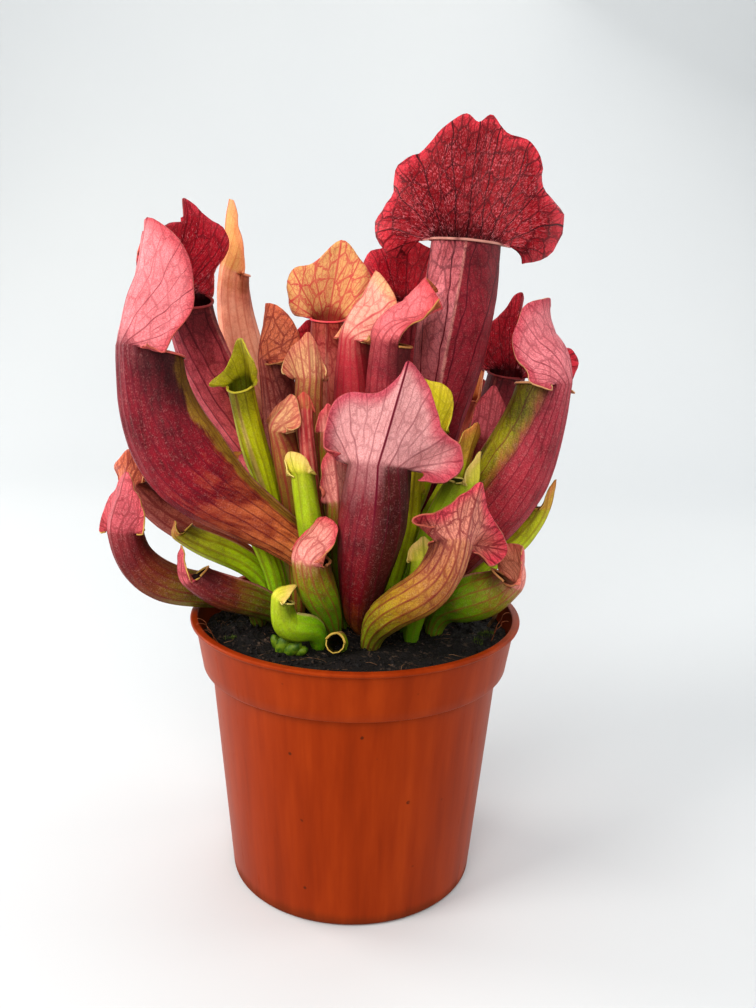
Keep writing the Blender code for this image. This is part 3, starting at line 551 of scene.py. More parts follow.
# %% What a hood is like when its plan doesn't say otherwise, in millimetres
HOOD = {
    "width": 8.0,  # half of the hood's width
    "height": 12.0,  # from the neck to the tip
    "drop": 2.0,  # how far the side lobes hang below the neck
    "spread": 115.0,  # angle from the tip round to the end of each lobe
    "neck": 100.0,  # half of the arc of the mouth that carries the hood
    "rise": 1.5,  # how much higher the mouth's back is than its lip
    "wrap": 0.3,  # 0 is a flat hood, 1 is as curved as the tube
    "tilt": 0.0,  # the hood's turn forward at the neck, in degrees
    "lean": 0.0,  # the hood's curl forward up to its tip, in degrees
    "full": 1.0,  # 1 is an oval hood, and less is squarer
    "hollow": 0.0,  # how deep the margin cuts in between the tip and a lobe
    "tip": 1.0,  # height of the point at the tip
    "skew": 0.0,  # sideways shift of the tip
    "ruffle": 0.6,  # depth of the margin's waves
    "waves": 4.0,  # number of waves over the margin
    "phase": 0.0,
    "forward": 1.0,  # shift of the hood's sheet towards the front
    "hook": 0.0,  # how far the tip turns back from the mouth
    "flare": 0.0,  # how far the lobes stand off from the tube
    "margin": None,  # the margin's own points, across and up from the neck, lobe to lobe
}
print("values of a hood:", len(HOOD))

# %% [markdown]
# A plan names a leaf, the size of its grid and the state that its colours are in, and the compass
# angle that its mouth faces. The spine is where it stands on the soil and the three handles that bend
# its tube, and the girth is the tube's radius at five heights. A hood is an oval of a given width and
# height, or it has a margin of its own: points across and up from the neck, from lobe to lobe. One
# leaf is cut off: it has a tube and no hood.

# %% The leaves' plans
PITCHERS = []


def pitcher(name, size, state, face, spine, girth, cut=False, **hood):
    """Adds the plan of one leaf. What isn't said about its hood is as in HOOD."""
    plan = dict(name="pitcher_" + name, size=size, state=state, face=face, cut=cut)
    plan.update(spine=spine, girth=girth, hood={**HOOD, **hood})
    PITCHERS.append(plan)


pitcher(
    "tall", "large", "tall", face=268,
    spine=((15, 18), (16, 18, 105), (26, 19, 140), (28.5, 23, 174)), girth=(2.6, 4.6, 7, 10, 9.4),
    height=34, neck=95, wrap=0, tilt=-4, lean=8, ruffle=1.2, waves=5, forward=3.5, phase=3.4,
    margin=[
        (-16.2, -4.5), (-22, -3.2), (-25.6, 4), (-22, 12), (-20.8, 19.8), (-14.9, 24), (-9.7, 30.7),
        (-3.9, 35.2), (0.1, 33.2), (3.6, 35.5), (8.2, 31), (14.5, 29.2), (18.5, 23.5), (20.1, 16.7),
        (25.8, 10.5), (23.5, 0), (16, -3),
    ],
)
pitcher(
    "behind_tall", "medium", "crimson", face=262,
    spine=((6, 28), (7, 30, 100), (12, 35, 130), (12.5, 38, 157)), girth=(2.2, 3.2, 4.2, 5.2, 5.2),
    width=15, height=17, drop=1, full=0.85, wrap=0, ruffle=0.8, tip=0, forward=2,
)
pitcher(
    "left_large", "column", "left_large", face=38,
    spine=((-7.5, 3.5), (-8, 2, 106), (-51, -12, 98), (-53, -7, 144)), girth=(2.4, 4.2, 6.8, 10.4, 8),
    height=32, neck=56, wrap=0.58, tilt=12, ruffle=0, waves=5, phase=2.8, hook=0.6, forward=2.6,
    rise=3.5, flare=3.5,
    margin=[
        (-8.5, 1.25), (-10.5, 0.5), (-13, -0.5), (-13.75, 3.75), (-17.5, 10.75), (-17, 17.25),
        (-14.5, 24), (-9.25, 29.25), (-1, 32.25), (4, 30), (5.25, 29), (4, 22), (8, 16), (11, 10),
        (12, 4.25), (12.75, 0.25), (11, -2.5),
    ],
)
pitcher(
    "left_back", "large", "crimson", face=318,
    spine=((-16.5, 27), (-18, 31, 110), (-44.5, 26.5, 126), (-47.5, 20, 156.5)),
    girth=(2.4, 3.6, 6, 7.2, 6.2),
    height=26, wrap=0.28, tilt=11, ruffle=0, waves=5, hook=2.5, rise=2, forward=0.8, flare=2, neck=101,
    margin=[
        (-4.25, 2.5), (-6, 3), (-9.5, 8.25), (-12.75, 14.5), (-9.75, 19.25), (-2.25, 20.75),
        (3.75, 20.25), (4.5, 21.75), (6.25, 25.5), (8.5, 24.5), (11.25, 21), (16.75, 17), (18, 11.5),
        (15, 8.75), (14.25, 4), (13.25, -2.25), (10.5, -3.5),
    ],
)
pitcher(
    "peach", "medium", "peach", face=22,
    spine=((-11, 31), (-14, 38, 110), (-40.5, 38, 134), (-37, 36, 164.5)), girth=(2, 3, 4.4, 5.2, 4.2),
    width=7.5, height=16.5, drop=-1, wrap=0.6, tilt=1, tip=3, hollow=0.1, forward=0.7, phase=2.2,
    full=0.8,
)
pitcher(
    "amber", "medium", "amber", face=270,
    spine=((-5.5, 23.5), (-7, 25, 100), (-10, 27, 125), (-9.5, 28, 152)),
    girth=(2.2, 3.2, 4.4, 4.9, 4.6),
    height=21, neck=92, wrap=0, ruffle=0.5, forward=2,
    margin=[
        (-9.5, 1), (-11.5, 5), (-10.7, 12.6), (-4.5, 15), (3, 21.5), (8.5, 16.5), (12, 10.5),
        (12.5, 4.5), (9.5, 0.5),
    ],
)
pitcher(
    "rose", "medium", "rose", face=35,
    spine=((0.5, 14), (-2, 15, 100), (-3, 16, 125), (-1.5, 16, 147)), girth=(2.2, 3.2, 4.4, 4.9, 4.4),
    height=22, wrap=0.4, tilt=30, neck=70, flare=2,
    margin=[
        (-6.25, 2.5), (-9, 2.25), (-9, 9.25), (-8.25, 15.75), (3.25, 22), (5.25, 17.75), (8, 13.25),
        (8, 7.75), (7, 0),
    ],
)
pitcher(
    "salmon", "medium", "salmon", face=8,
    spine=((5, 7), (5, 6, 100), (5, 4, 125), (8, 4, 148)), girth=(2.2, 3, 3.8, 4.8, 5),
    height=23.5, wrap=0.84, tilt=38, hook=1.1, rise=0.25, spread=110, flare=4, neck=101, forward=-2,
    ruffle=0,
    margin=[
        (-8.75, 15), (-11, 16.25), (-9.25, 16), (-10, 18.75), (9.25, 22.5), (6.25, 18.5), (5.75, 15),
        (4.75, 14.25), (10.25, 7.5),
    ],
)
pitcher(
    "rust", "medium", "rust", face=18,
    spine=((-20.5, 20), (-20.5, 19.5, 95), (-21, 19, 115), (-23.5, 17, 140)),
    girth=(2, 2.6, 3.2, 4.5, 4.3),
    height=15, wrap=0.52, tilt=12, ruffle=0.8, phase=5.3, neck=62, rise=3, flare=2.5, forward=0.6,
    margin=[
        (-3.75, -0.25), (-6.5, -0.25), (-9.75, 1.25), (-12, 8.25), (-5, 15.25), (8.5, 12.75), (7.75, 8),
        (8.25, 3.5), (7, 0),
    ],
)
pitcher(
    "striped", "medium", "tan", face=95,
    spine=((-6, 18), (-7, 19, 100), (-15, 10, 115), (-13.8, 8.5, 137)), girth=(2, 2.6, 3.2, 3.6, 3.5),
    height=12.5, tilt=10, flare=1.75,
    margin=[
        (-2.25, 1.25), (-3.5, 3.75), (-2.25, 7.5), (-0.75, 10.5), (1, 12.5), (3.25, 10.25), (6, 7.5),
        (7.25, 3.75), (4.75, 1.25),
    ],
)
pitcher(
    "lime", "medium", "lime", face=246,
    spine=((-16.5, 13.5), (-20, 14, 95), (-28.5, 11, 112), (-31.8, 6.5, 135.3)),
    girth=(2, 2.4, 2.9, 3.4, 3.4),
    height=15, wrap=0.4, lean=30, forward=2, spread=110, flare=1.5, neck=98, ruffle=0.15,
    margin=[
        (-3.25, 0.75), (-9, 1.25), (-4.5, 4), (-1.25, 8.25), (3, 14.75), (6.5, 14.75), (8, 9.75),
        (5.75, 3.75), (3, 1.5),
    ],
)
pitcher(
    "tan", "small", "tan", face=35,
    spine=((-16.5, 8.5), (-17, 9.5, 95), (-18.6, 6, 110), (-20.6, 3.5, 124)),
    girth=(1.8, 2.1, 2.5, 3.2, 3.3),
    height=11, tilt=30, forward=0.4, neck=71, flare=1.5, ruffle=0.45,
    margin=[
        (-4.5, 1.5), (-6.5, 1.75), (-8, 4), (-6.5, 8), (-3.5, 11), (-0.5, 8.75), (2.25, 6), (4.25, 3),
        (10.25, 0.75),
    ],
)
pitcher(
    "front", "large", "front", face=82,
    spine=((2.5, -3), (-1, -12, 80), (3.8, -17, 98), (5.2, -15, 118)), girth=(2.6, 4.6, 6.4, 8.4, 8),
    height=26.5, neck=95, rise=1.75, wrap=0.02, tilt=-5, lean=10, ruffle=0, forward=3.5, flare=1.5,
    margin=[
        (-8.5, -1), (-14.75, -1.75), (-17.25, -1), (-20.25, 2.25), (-19.5, 6.75), (-14.5, 10.25),
        (-12.25, 17), (-9.25, 22.25), (-5, 26.5), (-3, 22.5), (1.75, 18), (8.25, 17.5), (12, 15),
        (13.25, 10.5), (13.5, 4.75), (10.75, 4), (8, 3.5),
    ],
)
pitcher(
    "front_right", "large", "netted", face=98,
    spine=((4, -15), (6, -23, 88), (18, -27, 84), (22.7, -24, 99)), girth=(2.4, 4.2, 4.8, 5.2, 5),
    height=15, neck=90, rise=4.25, wrap=0.08, tilt=-1, ruffle=0, forward=2.2, flare=1.5,
    margin=[
        (-3.75, 0.5), (-8.25, -0.25), (-13.5, -2), (-18.25, 1), (-15, 4.25), (-9.5, 7), (-5.25, 10),
        (-2.5, 13.25), (0, 15.25), (2, 13), (4.25, 10.75), (7, 7), (9.25, 5.25), (12.75, 4.25),
        (14, 2.75), (11.5, 2.75), (7, 4),
    ],
)
pitcher(
    "right_large", "column", "right_large", face=142,
    spine=((19, 5), (23, 3, 92), (42, 1, 100), (48.9, 4, 137)), girth=(2.6, 4.2, 7.4, 9.6, 7),
    height=24, neck=58, wrap=0.6, tilt=30, ruffle=0.4, waves=5, phase=4.9, hook=1.5, rise=2.5,
    flare=3.5, forward=0.5,
    margin=[
        (-8.5, -1), (-11, 0.25), (-13.25, 2.75), (-13.5, 7), (-12, 12), (-9.5, 17), (-6.5, 21),
        (-2.5, 24), (3.75, 23.5), (9.25, 22.5), (11.75, 18.5), (14.5, 14.25), (14.75, 9.75), (13, 5.5),
        (13, 2.25), (10, 0.25), (8.5, -1.25),
    ],
)
pitcher(
    "right_back", "large", "crimson", face=240,
    spine=((22, 24), (23, 27, 95), (38, 33, 110), (43, 33, 137)), girth=(2.4, 3.6, 4.8, 5.6, 5.2),
    height=23, wrap=0.06, tilt=4, ruffle=0.8, waves=5, forward=2, flare=1.5,
    margin=[
        (-7.5, -1.25), (-11.25, 0.75), (-11.75, 4.75), (-11.5, 8.25), (-10, 12.25), (-6.75, 16.25),
        (-5.25, 19.75), (-4, 22.25), (-2, 23.25), (-1.75, 20.5), (-1, 17), (2.5, 14.75), (8.25, 12.25),
        (14.25, 10), (18.25, 11), (20.75, 8.5), (19, 3.5),
    ],
)
pitcher(
    "peach_slip", "small", "peach", face=200,
    spine=((15, 27), (16, 30, 90), (31, 39.5, 113), (34.2, 41, 128)), girth=(1.7, 2, 2.2, 2.2, 2),
    width=3, height=9, drop=0.5, tip=2, phase=4.9, forward=0.8,
)
pitcher(
    "left_low", "medium", "dusky", face=62,
    spine=((-27, 2), (-28.5, 1.5, 87), (-57, -3, 71.5), (-61.5, -4, 97)),
    girth=(2.2, 3.2, 4.3, 4.9, 4.5),
    width=8.5, height=15, drop=1, wrap=0.2, tilt=30, hollow=0.1, tip=2, full=0.85,
)
pitcher(
    "left_rear_low", "small", "rust", face=60,
    spine=((-27, 20), (-27.5, 20.2, 92), (-47, 22, 82), (-63.2, 18, 105)),
    girth=(1.9, 2.6, 3.4, 4, 3.8),
    height=11, tilt=20, forward=1.4, flare=2.25,
    margin=[
        (-5.25, -0.25), (-7.5, 2.5), (-8.75, 6.5), (-8.75, 9.75), (-5.75, 10.75), (-0.75, 9), (5.75, 7),
        (7, 3.75), (3, 0.5),
    ],
)
pitcher(
    "left_lying", "medium", "dusky", face=30,
    spine=((-19, -4), (-22, -6, 81), (-32, -12, 80), (-41, -13, 88)), girth=(2, 2.8, 3.6, 3.9, 3.4),
    width=4.5, height=10, drop=0, wrap=0.4, tilt=20, lean=40, forward=0.5, phase=4,
)
pitcher(
    "front_left", "medium", "blush", face=40,
    spine=((-6, -9.5), (-6.5, -14, 82), (-10.5, -17, 84), (-11.5, -18, 94)),
    girth=(2.2, 3.2, 4.2, 4.8, 4.6),
    height=15, wrap=0.46, tilt=40, lean=20, forward=0.5, spread=110, flare=1,
    margin=[
        (-4.5, -1), (-6, 4), (-6, 9.5), (-4, 13.5), (1.75, 15), (6, 13), (7, 8), (7, 3.5), (6, 0),
    ],
)
pitcher(
    "green_curl", "small", "pale", face=20,
    spine=((-9.5, -15.5), (-11, -19, 82), (-18.6, -22, 72), (-18.6, -21, 84.3)),
    girth=(2, 2.8, 3.2, 3.2, 2.6),
    width=4, height=7, drop=0, wrap=0.5, tilt=30, lean=60, tip=0.5, forward=0.3, ruffle=0.2,
)
pitcher(
    "right_low", "medium", "blush", face=165,
    spine=((21.5, -3.5), (24, -5, 83), (32, -9, 79), (39.5, -9, 87)), girth=(2.2, 3.6, 5.2, 5.6, 4.4),
    wrap=0.5, tilt=30, lean=20, forward=0.5, spread=110, flare=2, ruffle=0,
    neck=103,
    margin=[
        (-9, -3.75), (-10.5, 0.25), (-11.5, 4.5), (-11, 9.25), (-8.25, 12), (3, 11), (4, 8), (4, 4),
        (3.5, 0),
    ],
)
pitcher(
    "yellow", "small", "lime", face=80,
    spine=((9.5, 11.5), (10.5, 11, 95), (17.5, 8, 105), (20, 6.5, 124)),
    girth=(1.9, 2.2, 2.4, 2.8, 2.8),
    height=13, wrap=0.05, flare=1.5,
    margin=[
        (-1.75, 1.25), (-3.25, 2.75), (-4.25, 6.5), (-3, 10.75), (-0.25, 12.75), (3.25, 13),
        (6.25, 13.25), (7, 9), (5.5, 2.5),
    ],
)
pitcher(
    "olive", "small", "green", face=120,
    spine=((13, 6), (13.5, 4.5, 95), (23.5, 3.5, 103), (27, 4, 116)), girth=(1.8, 2.2, 2.6, 2.8, 2.6),
    width=4.5, height=10, drop=0, forward=0.5, full=0.85,
)
pitcher(
    "dusky", "small", "dusky", face=70,
    spine=((24, 14.5), (25, 15, 90), (34, 15, 100), (36, 15.5, 120)), girth=(2, 2.8, 3.6, 4.4, 4.2),
    width=5.5, height=14, drop=-0.5, wrap=0.4, tilt=5, forward=0.5,
)
pitcher(
    "dried_tip", "medium", "pale", face=150,
    spine=((14, -3), (16, -3, 85), (22, -6, 98), (27, -6.5, 113)), girth=(2.2, 3, 4, 4.5, 4),
    width=5, height=8, drop=0, wrap=0.4, tilt=15, forward=0.5, phase=3.8,
)
pitcher(
    "green_mid", "small", "lime", face=95,
    spine=((8, 3), (9, 2.5, 85), (13.5, 0.5, 95), (14.2, 0.5, 108)), girth=(1.8, 2.4, 2.8, 3, 2.8),
    width=3.5, height=7, drop=-1, forward=0.1, full=0.95,
)
pitcher(
    "pale_green", "small", "pale", face=75,
    spine=((-9, -5), (-8.5, -7, 85), (-12.2, -7.2, 95), (-14.3, -6.2, 114)), girth=(2, 2.6, 3, 3.1, 3),
    height=6, tilt=25, forward=-0.8, flare=1.5,
    margin=[
        (-2, -1), (-3, 0.75), (-3, 2.5), (-1.75, 4.25), (0.5, 5.5), (4, 5.75), (4.25, 3.25),
        (2.25, 0.25), (-0.5, -2),
    ],
)
pitcher(
    "peach_fold", "small", "blush", face=110,
    spine=((-2.5, -0.5), (-3.5, -1, 84), (-5.5, -3, 92), (-5.8, -4, 106)),
    girth=(1.8, 2.2, 2.6, 2.8, 2.6),
    height=14.5, tilt=10, forward=0.4, flare=2,
    margin=[
        (-1.75, 0.75), (-3.25, 3), (-3.75, 7), (-3, 11.5), (0.25, 14.5), (3, 12.25), (3.75, 9.5),
        (3.75, 6), (1.25, 3),
    ],
)
pitcher(
    "green_left", "small", "green", face=20,
    spine=((-21.5, 6), (-22.5, 8.5, 90), (-32, 6.6, 98), (-34, 5.6, 112.5)),
    girth=(1.9, 2.2, 2.4, 2.5, 2.4),
    width=4.4, height=6, drop=0, wrap=0.4, tilt=12, forward=-0.2, full=0.8, lean=80,
)
pitcher(
    "green_far_left", "small", "green", face=25,
    spine=((-24, 12.5), (-26, 13, 86), (-38, 12, 86), (-48.5, 12, 93)), girth=(1.8, 2.4, 2.9, 3.1, 2.8),
    width=3.8, height=5, drop=0, wrap=0.4, tilt=30, lean=30, tip=0.5, forward=0.3, phase=1.9,
    flare=0.25,
)
pitcher(
    "green_right", "small", "green", face=150,
    spine=((28, 9.5), (30, 11, 88), (45, 15, 86), (51, 15, 101)), girth=(1.9, 2.6, 3.3, 3.8, 3.2),
    width=4.2, height=8, drop=-1, wrap=0.4, tilt=10, forward=0.2,
)
pitcher(
    "orange", "small", "amber", face=100,
    spine=((-8.5, 10.5), (-9, 10, 90), (-13.4, 5, 110), (-14.6, 3.6, 129)),
    girth=(1.7, 1.8, 1.9, 2, 1.9),
    width=2.6, height=4.6, drop=0, tip=0.4, forward=0.6, ruffle=0.2, waves=2, flare=0.25,
)
pitcher(
    "peach_small", "small", "blush", face=75,
    spine=((-3.5, 8), (-4.5, 7, 90), (-8, 4, 105), (-7.8, 0.5, 124)), girth=(1.8, 2, 2.2, 2.4, 2.3),
    width=3.5, height=7, drop=0, wrap=0.2, forward=0.5,
)
pitcher(
    "green_low", "small", "pale", face=95,
    spine=((15, -9.5), (15, -12, 80), (17, -14, 84), (17, -13.5, 93)), girth=(1.8, 2.6, 3, 3.2, 3),
    width=4, height=6, drop=0, tilt=20, tip=0.5, forward=0.5,
)
pitcher(
    "cut_stub", "small", "green", face=270, cut=True,
    spine=((-4, -16), (-4.3, -18, 72.8), (-4.8, -20.3, 74), (-5, -22, 74.4)),
    girth=(1.9, 1.9, 2, 2.1, 2.2),
)
pitcher(
    "rear_mid", "medium", "crimson", face=275,
    spine=((-3, 31), (-4, 34, 95), (-12, 44, 110), (-14, 48, 134)), girth=(2, 3.2, 4.4, 5.4, 5),
    width=11, height=15, drop=1, wrap=0.1, ruffle=0.9, forward=2,
)
pitcher(
    "rear_right", "medium", "mauve", face=245,
    spine=((13, 33), (15, 37, 90), (27, 46, 100), (31, 49, 122)), girth=(2, 3.2, 4.4, 5.2, 4.8),
    width=10, height=14, drop=1, wrap=0.2, ruffle=0.9, forward=2,
)
pitcher(
    "rear_left", "medium", "salmon", face=310,
    spine=((-24, 25.5), (-26, 28, 92), (-37, 41, 100), (-42, 44, 122)), girth=(2, 3, 4.2, 5, 4.6),
    width=9, height=14, drop=1, wrap=0.2, ruffle=0.9, forward=1.5,
)
pitcher(
    "rear_low", "small", "green", face=250,
    spine=((4, 35), (4, 37, 92), (11, 48, 88), (13, 52, 100)), girth=(1.8, 2.6, 3.4, 3.8, 3.4),
    width=5, height=8, drop=0, forward=0.7,
)
print("leaves:", len(PITCHERS))


# %% [markdown]
# A tube's girth is given at five places and a hood's margin at a few, so both need a smooth curve
# through a list. A cubic that passes through each value with the slope of its neighbours does that,
# and it works for single numbers and for places alike.

# %% A smooth curve through a list of values
def along(values, share):
    last = len(values) - 1
    index = min(int(share * last), last - 1)
    step = share * last - index
    before = values[max(index - 1, 0)]
    here = values[index]
    there = values[index + 1]
    after = values[min(index + 2, last)]
    slope_here = (there - before) / 2
    slope_there = (after - here) / 2
    square = step * step
    cube = square * step
    return (
        (2 * cube - 3 * square + 1) * here
        + (cube - 2 * square + step) * slope_here
        + (3 * square - 2 * cube) * there
        + (cube - square) * slope_there
    )


# %% [markdown]
# The rule itself is a class. It could be a lofted surface for each leaf, but then nothing would tie
# the hood to the mouth or the veins to the tube. From a plan it gives the place of any u and stage:
# the tube is a ring carried along a curve, and the hood is a flat sheet that is bent to the mouth's
# roundness at its neck, opened towards its margin and tilted.

# %% The rule that a leaf follows
MOUTH = 1.0
ROOT_DEPTH = 5.0
FOOT_RISE = 0.8
KEEL = 0.08
# columns round the tube, columns that run on into the hood, rows of the tube and of the hood,
# main veins on each side of the midrib, and the wall's thickness
Grid = namedtuple("Grid", "columns hood_columns tube_rows hood_rows veins wall")
SIZES = {
    "large": Grid(90, 72, 60, 44, 5, 0.42),
    "column": Grid(90, 54, 60, 44, 5, 0.42),
    "medium": Grid(60, 40, 44, 28, 4, 0.38),
    "small": Grid(40, 30, 30, 18, 3, 0.34),
}


class Pitcher:
    """A leaf as a rule that gives the place of any u and stage."""

    def __init__(self, plan):
        self.plan = plan
        self.hood = plan["hood"]
        self.grid = SIZES[plan["size"]]
        self.carry = self.grid.hood_columns / self.grid.columns
        self.vein_step = self.carry / self.grid.veins
        foot = plan["spine"][0]
        level = soil_height(*foot)
        handles = [Vector(place) for place in plan["spine"][1:]]
        self.spine = [Vector((*foot, level + FOOT_RISE))] + handles
        azimuth = math.radians(plan["face"])
        self.towards = Vector((math.cos(azimuth), math.sin(azimuth), 1.0))
        self.frames = {}
        steps = [self.centre(step / 20) for step in range(21)]
        self.length = sum((there - here).length for here, there in zip(steps, steps[1:]))

    def centre(self, share):
        first, second, third, fourth = self.spine
        rest = 1 - share
        return (
            rest**3 * first
            + 3 * rest**2 * share * second
            + 3 * rest * share**2 * third
            + share**3 * fourth
        )

    def heading(self, share):
        first, second, third, fourth = self.spine
        rest = 1 - share
        slope = (
            rest**2 * (second - first)
            + 2 * rest * share * (third - second)
            + share**2 * (fourth - third)
        )
        return slope.normalized()

    def frame(self, share):
        """The tube's centre, and its directions up, to the front and to the side."""
        if share not in self.frames:
            up = self.heading(share)
            front = (self.towards - self.towards.dot(up) * up).normalized()
            self.frames[share] = (self.centre(share), up, front, up.cross(front))
        return self.frames[share]

    def angle(self, u, share):
        even = math.pi * u
        neck = math.radians(self.hood["neck"])
        part = abs(u) / self.carry
        if part <= 1:
            gathered = neck * part
        else:
            gathered = neck + (math.pi - neck) * (abs(u) - self.carry) / (1 - self.carry)
        blend = max(0.0, 2 * share - 1) ** 2
        return even + (math.copysign(gathered, u) - even) * blend

    def slope(self, angle):
        return self.hood["rise"] * (1 + math.cos(angle)) / 2

    def tube_point(self, u, share):
        centre, up, front, side = self.frame(share)
        angle = self.angle(u, share)
        ridge = KEEL * max(0.0, 1 - (1 - abs(u)) * 12) ** 2
        radius = along(self.plan["girth"], share) * (1 + ridge)
        out = -front * math.cos(angle) + side * math.sin(angle)
        return centre + up * self.slope(angle) * share**6 + out * radius

    def outline(self, u):
        """The hood's margin laid flat: across and up from the neck."""
        hood = self.hood
        if hood["margin"]:
            share = (u + 1) / 2
            across = [place[0] for place in hood["margin"]]
            up = [place[1] for place in hood["margin"]]
            return along(across, share), along(up, share)
        angle = u * math.radians(hood["spread"])
        across = math.copysign(abs(math.sin(angle)) ** hood["full"], u)
        up = math.cos(angle)
        cut = 1 - hood["hollow"] * math.sin(2 * angle) ** 2 * (up > 0)
        wave = 1 + 0.04 * hood["ruffle"] * math.cos(2 * hood["waves"] * angle + hood["phase"])
        x = hood["width"] * across * cut * wave + hood["skew"] * max(up, 0.0) ** 2
        if up > 0:
            y = hood["height"] * up ** hood["full"] * cut * wave
            y += hood["tip"] * math.exp(-((angle / 0.3) ** 2))
        else:
            y = hood["drop"] * up / -math.cos(math.radians(hood["spread"]))
        return x, y

    def laid_flat(self, u, share):
        """A point of the hood before it is rolled and tilted: across and up from the neck."""
        neck_x = self.plan["girth"][-1] * math.radians(self.hood["neck"]) * u
        edge_x, edge_y = self.outline(u)
        rest = 1 - share
        middle_x = 0.6 * neck_x + 0.4 * edge_x
        middle_y = max(0.35 * edge_y, 0.0)
        x = rest**2 * neck_x + 2 * rest * share * middle_x + share**2 * edge_x
        return x, 2 * rest * share * middle_y + share**2 * edge_y

    def hood_point(self, u, share):
        hood = self.hood
        centre, up, front, side = self.frame(1.0)
        radius = self.plan["girth"][-1]
        neck_angle = math.radians(hood["neck"]) * u
        neck_depth = radius * (1 - math.cos(neck_angle))
        x, y = self.laid_flat(u, share)
        bend = (1 - share + share * max(hood["wrap"], 0.01)) / radius
        sideways = math.sin(bend * x) / bend
        depth = (1 - math.cos(bend * x)) / bend - neck_depth
        wave = math.sin(hood["waves"] * u * math.radians(hood["spread"]) + hood["phase"])
        depth += hood["forward"] * share * (2 - share) + hood["ruffle"] * share**2 * wave * abs(u)
        depth -= hood["hook"] * max(0.0, 4 * y / hood["height"] - 3) ** 2
        lift = y
        if y > 0 and hood["lean"]:
            curl = math.radians(hood["lean"]) / hood["height"]
            lift = math.sin(curl * y) / curl - depth * math.sin(curl * y)
            depth = (1 - math.cos(curl * y)) / curl + depth * math.cos(curl * y)
        turn = math.radians(hood["tilt"]) * min(1.0, 1.5 * share)
        up_share = lift * math.cos(turn) - depth * math.sin(turn) + self.slope(neck_angle)
        front_share = lift * math.sin(turn) + depth * math.cos(turn) + neck_depth - radius
        flare = hood["flare"] * share * (2 - share) * max(0.0, 2.5 * abs(u) - 1.5) ** 1.5
        sideways += flare * math.sin(neck_angle)
        front_share -= flare * math.cos(neck_angle)
        return centre + side * sideways + up * up_share + front * front_share

    def point(self, u, stage):
        if stage < 0:
            return self.centre(0.0) - self.heading(0.0) * ROOT_DEPTH
        if stage <= MOUTH:
            return self.tube_point(u, stage)
        return self.hood_point(u / self.carry, stage - 1)

    def flat(self, u, stage):
        """The same point on the sheet unrolled: across from the back line and up from the foot."""
        share = max(stage, 0.0)
        if share <= 1:
            across = along(self.plan["girth"], share) * self.angle(u, share)
            return across, share * self.length
        x, y = self.laid_flat(u / self.carry, share - 1)
        return x, self.length + y


print("tube of the tallest leaf:", round(Pitcher(PITCHERS[0]).length), "mm")

# %% [markdown]
# ## Numbers that the finish needs on the mesh
#
# Veins run along the leaf and spread with the hood, so no pattern in space could follow them. The
# mesh therefore stores three small vectors on each face corner: where the corner lies on the sheet
# unrolled, in millimetres and how wide the sheet is there; its u, its stage and its distance from
# the margin; and a count of the main veins, which is a whole number on each of them. They are stored
# on corners, not on points, so that both sides of the front seam keep their own values.

# %% Measure the sheet of a leaf
FAR_FROM_MARGIN = 20.0


def sheet_numbers(leaf, rows):
    """For each row and column: (across, up, width per u), (u, stage, to the margin), (veins, seed, 0)."""
    columns = leaf.grid.columns
    numbers = []
    seed = sum(map(ord, leaf.plan["name"])) % 97
    tip = max((leaf.outline(step / 20) for step in range(-20, 21)), key=lambda place: place[1])
    for stage in rows:
        flats = [leaf.flat(2 * column / columns - 1, stage) for column in range(columns + 1)]
        row = []
        for column in range(columns + 1):
            u = 2 * column / columns - 1
            before = flats[max(column - 1, 0)]
            after = flats[min(column + 1, columns)]
            steps = min(column + 1, columns) - max(column - 1, 0)
            width = math.hypot(after[0] - before[0], after[1] - before[1]) * columns / 2 / steps
            across, up = flats[column]
            if not leaf.plan["cut"]:
                across -= tip[0] * min(1.0, max(0.0, (up - leaf.length) / tip[1]))
            edge = FAR_FROM_MARGIN
            if stage > 1 and abs(u) <= leaf.carry + 1e-6:
                part = u / leaf.carry
                margin = leaf.outline(part)
                to_margin = math.hypot(margin[0] - flats[column][0], margin[1] + leaf.length - up)
                edge = min(to_margin, width * (leaf.carry - abs(u)) + 6 * (2 - stage) ** 2)
            sway = 0.22 * noise.noise(Vector((across / 9, up / 13, seed)))
            sway += 0.07 * noise.noise(Vector((across / 3, up / 4, seed + 9)))
            calm = 1 - 0.8 * math.exp(-((across / 2.5) ** 2))
            count = u / leaf.vein_step + sway * calm
            row.append(((across, up, width), (u, stage, edge), (count, seed, 0.0)))
        numbers.append(row)
    return numbers


# %% [markdown]
# ## Relief of a leaf
#
# The tube isn't smooth: its main veins stand out a little, the tissue between them bulges, and the
# front seam is a sharp ridge. The hood has a stronger midrib and a margin that curls and flutters.
# These are moves of the points along their normals, by formulas of the numbers above, so they are
# real form and not only a bump. They are a few tenths of a millimetre, and nothing of it reaches the
# mouth's lip, where the sheet ends.

# %% How far a point stands out from the plain form
VEIN_HEIGHT = 0.13
VEIN_WIDTH = 0.4
MIDRIB_WIDTH = 0.7
MARGIN_CURL = 1.7
SEAM_RIDGE = 0.75


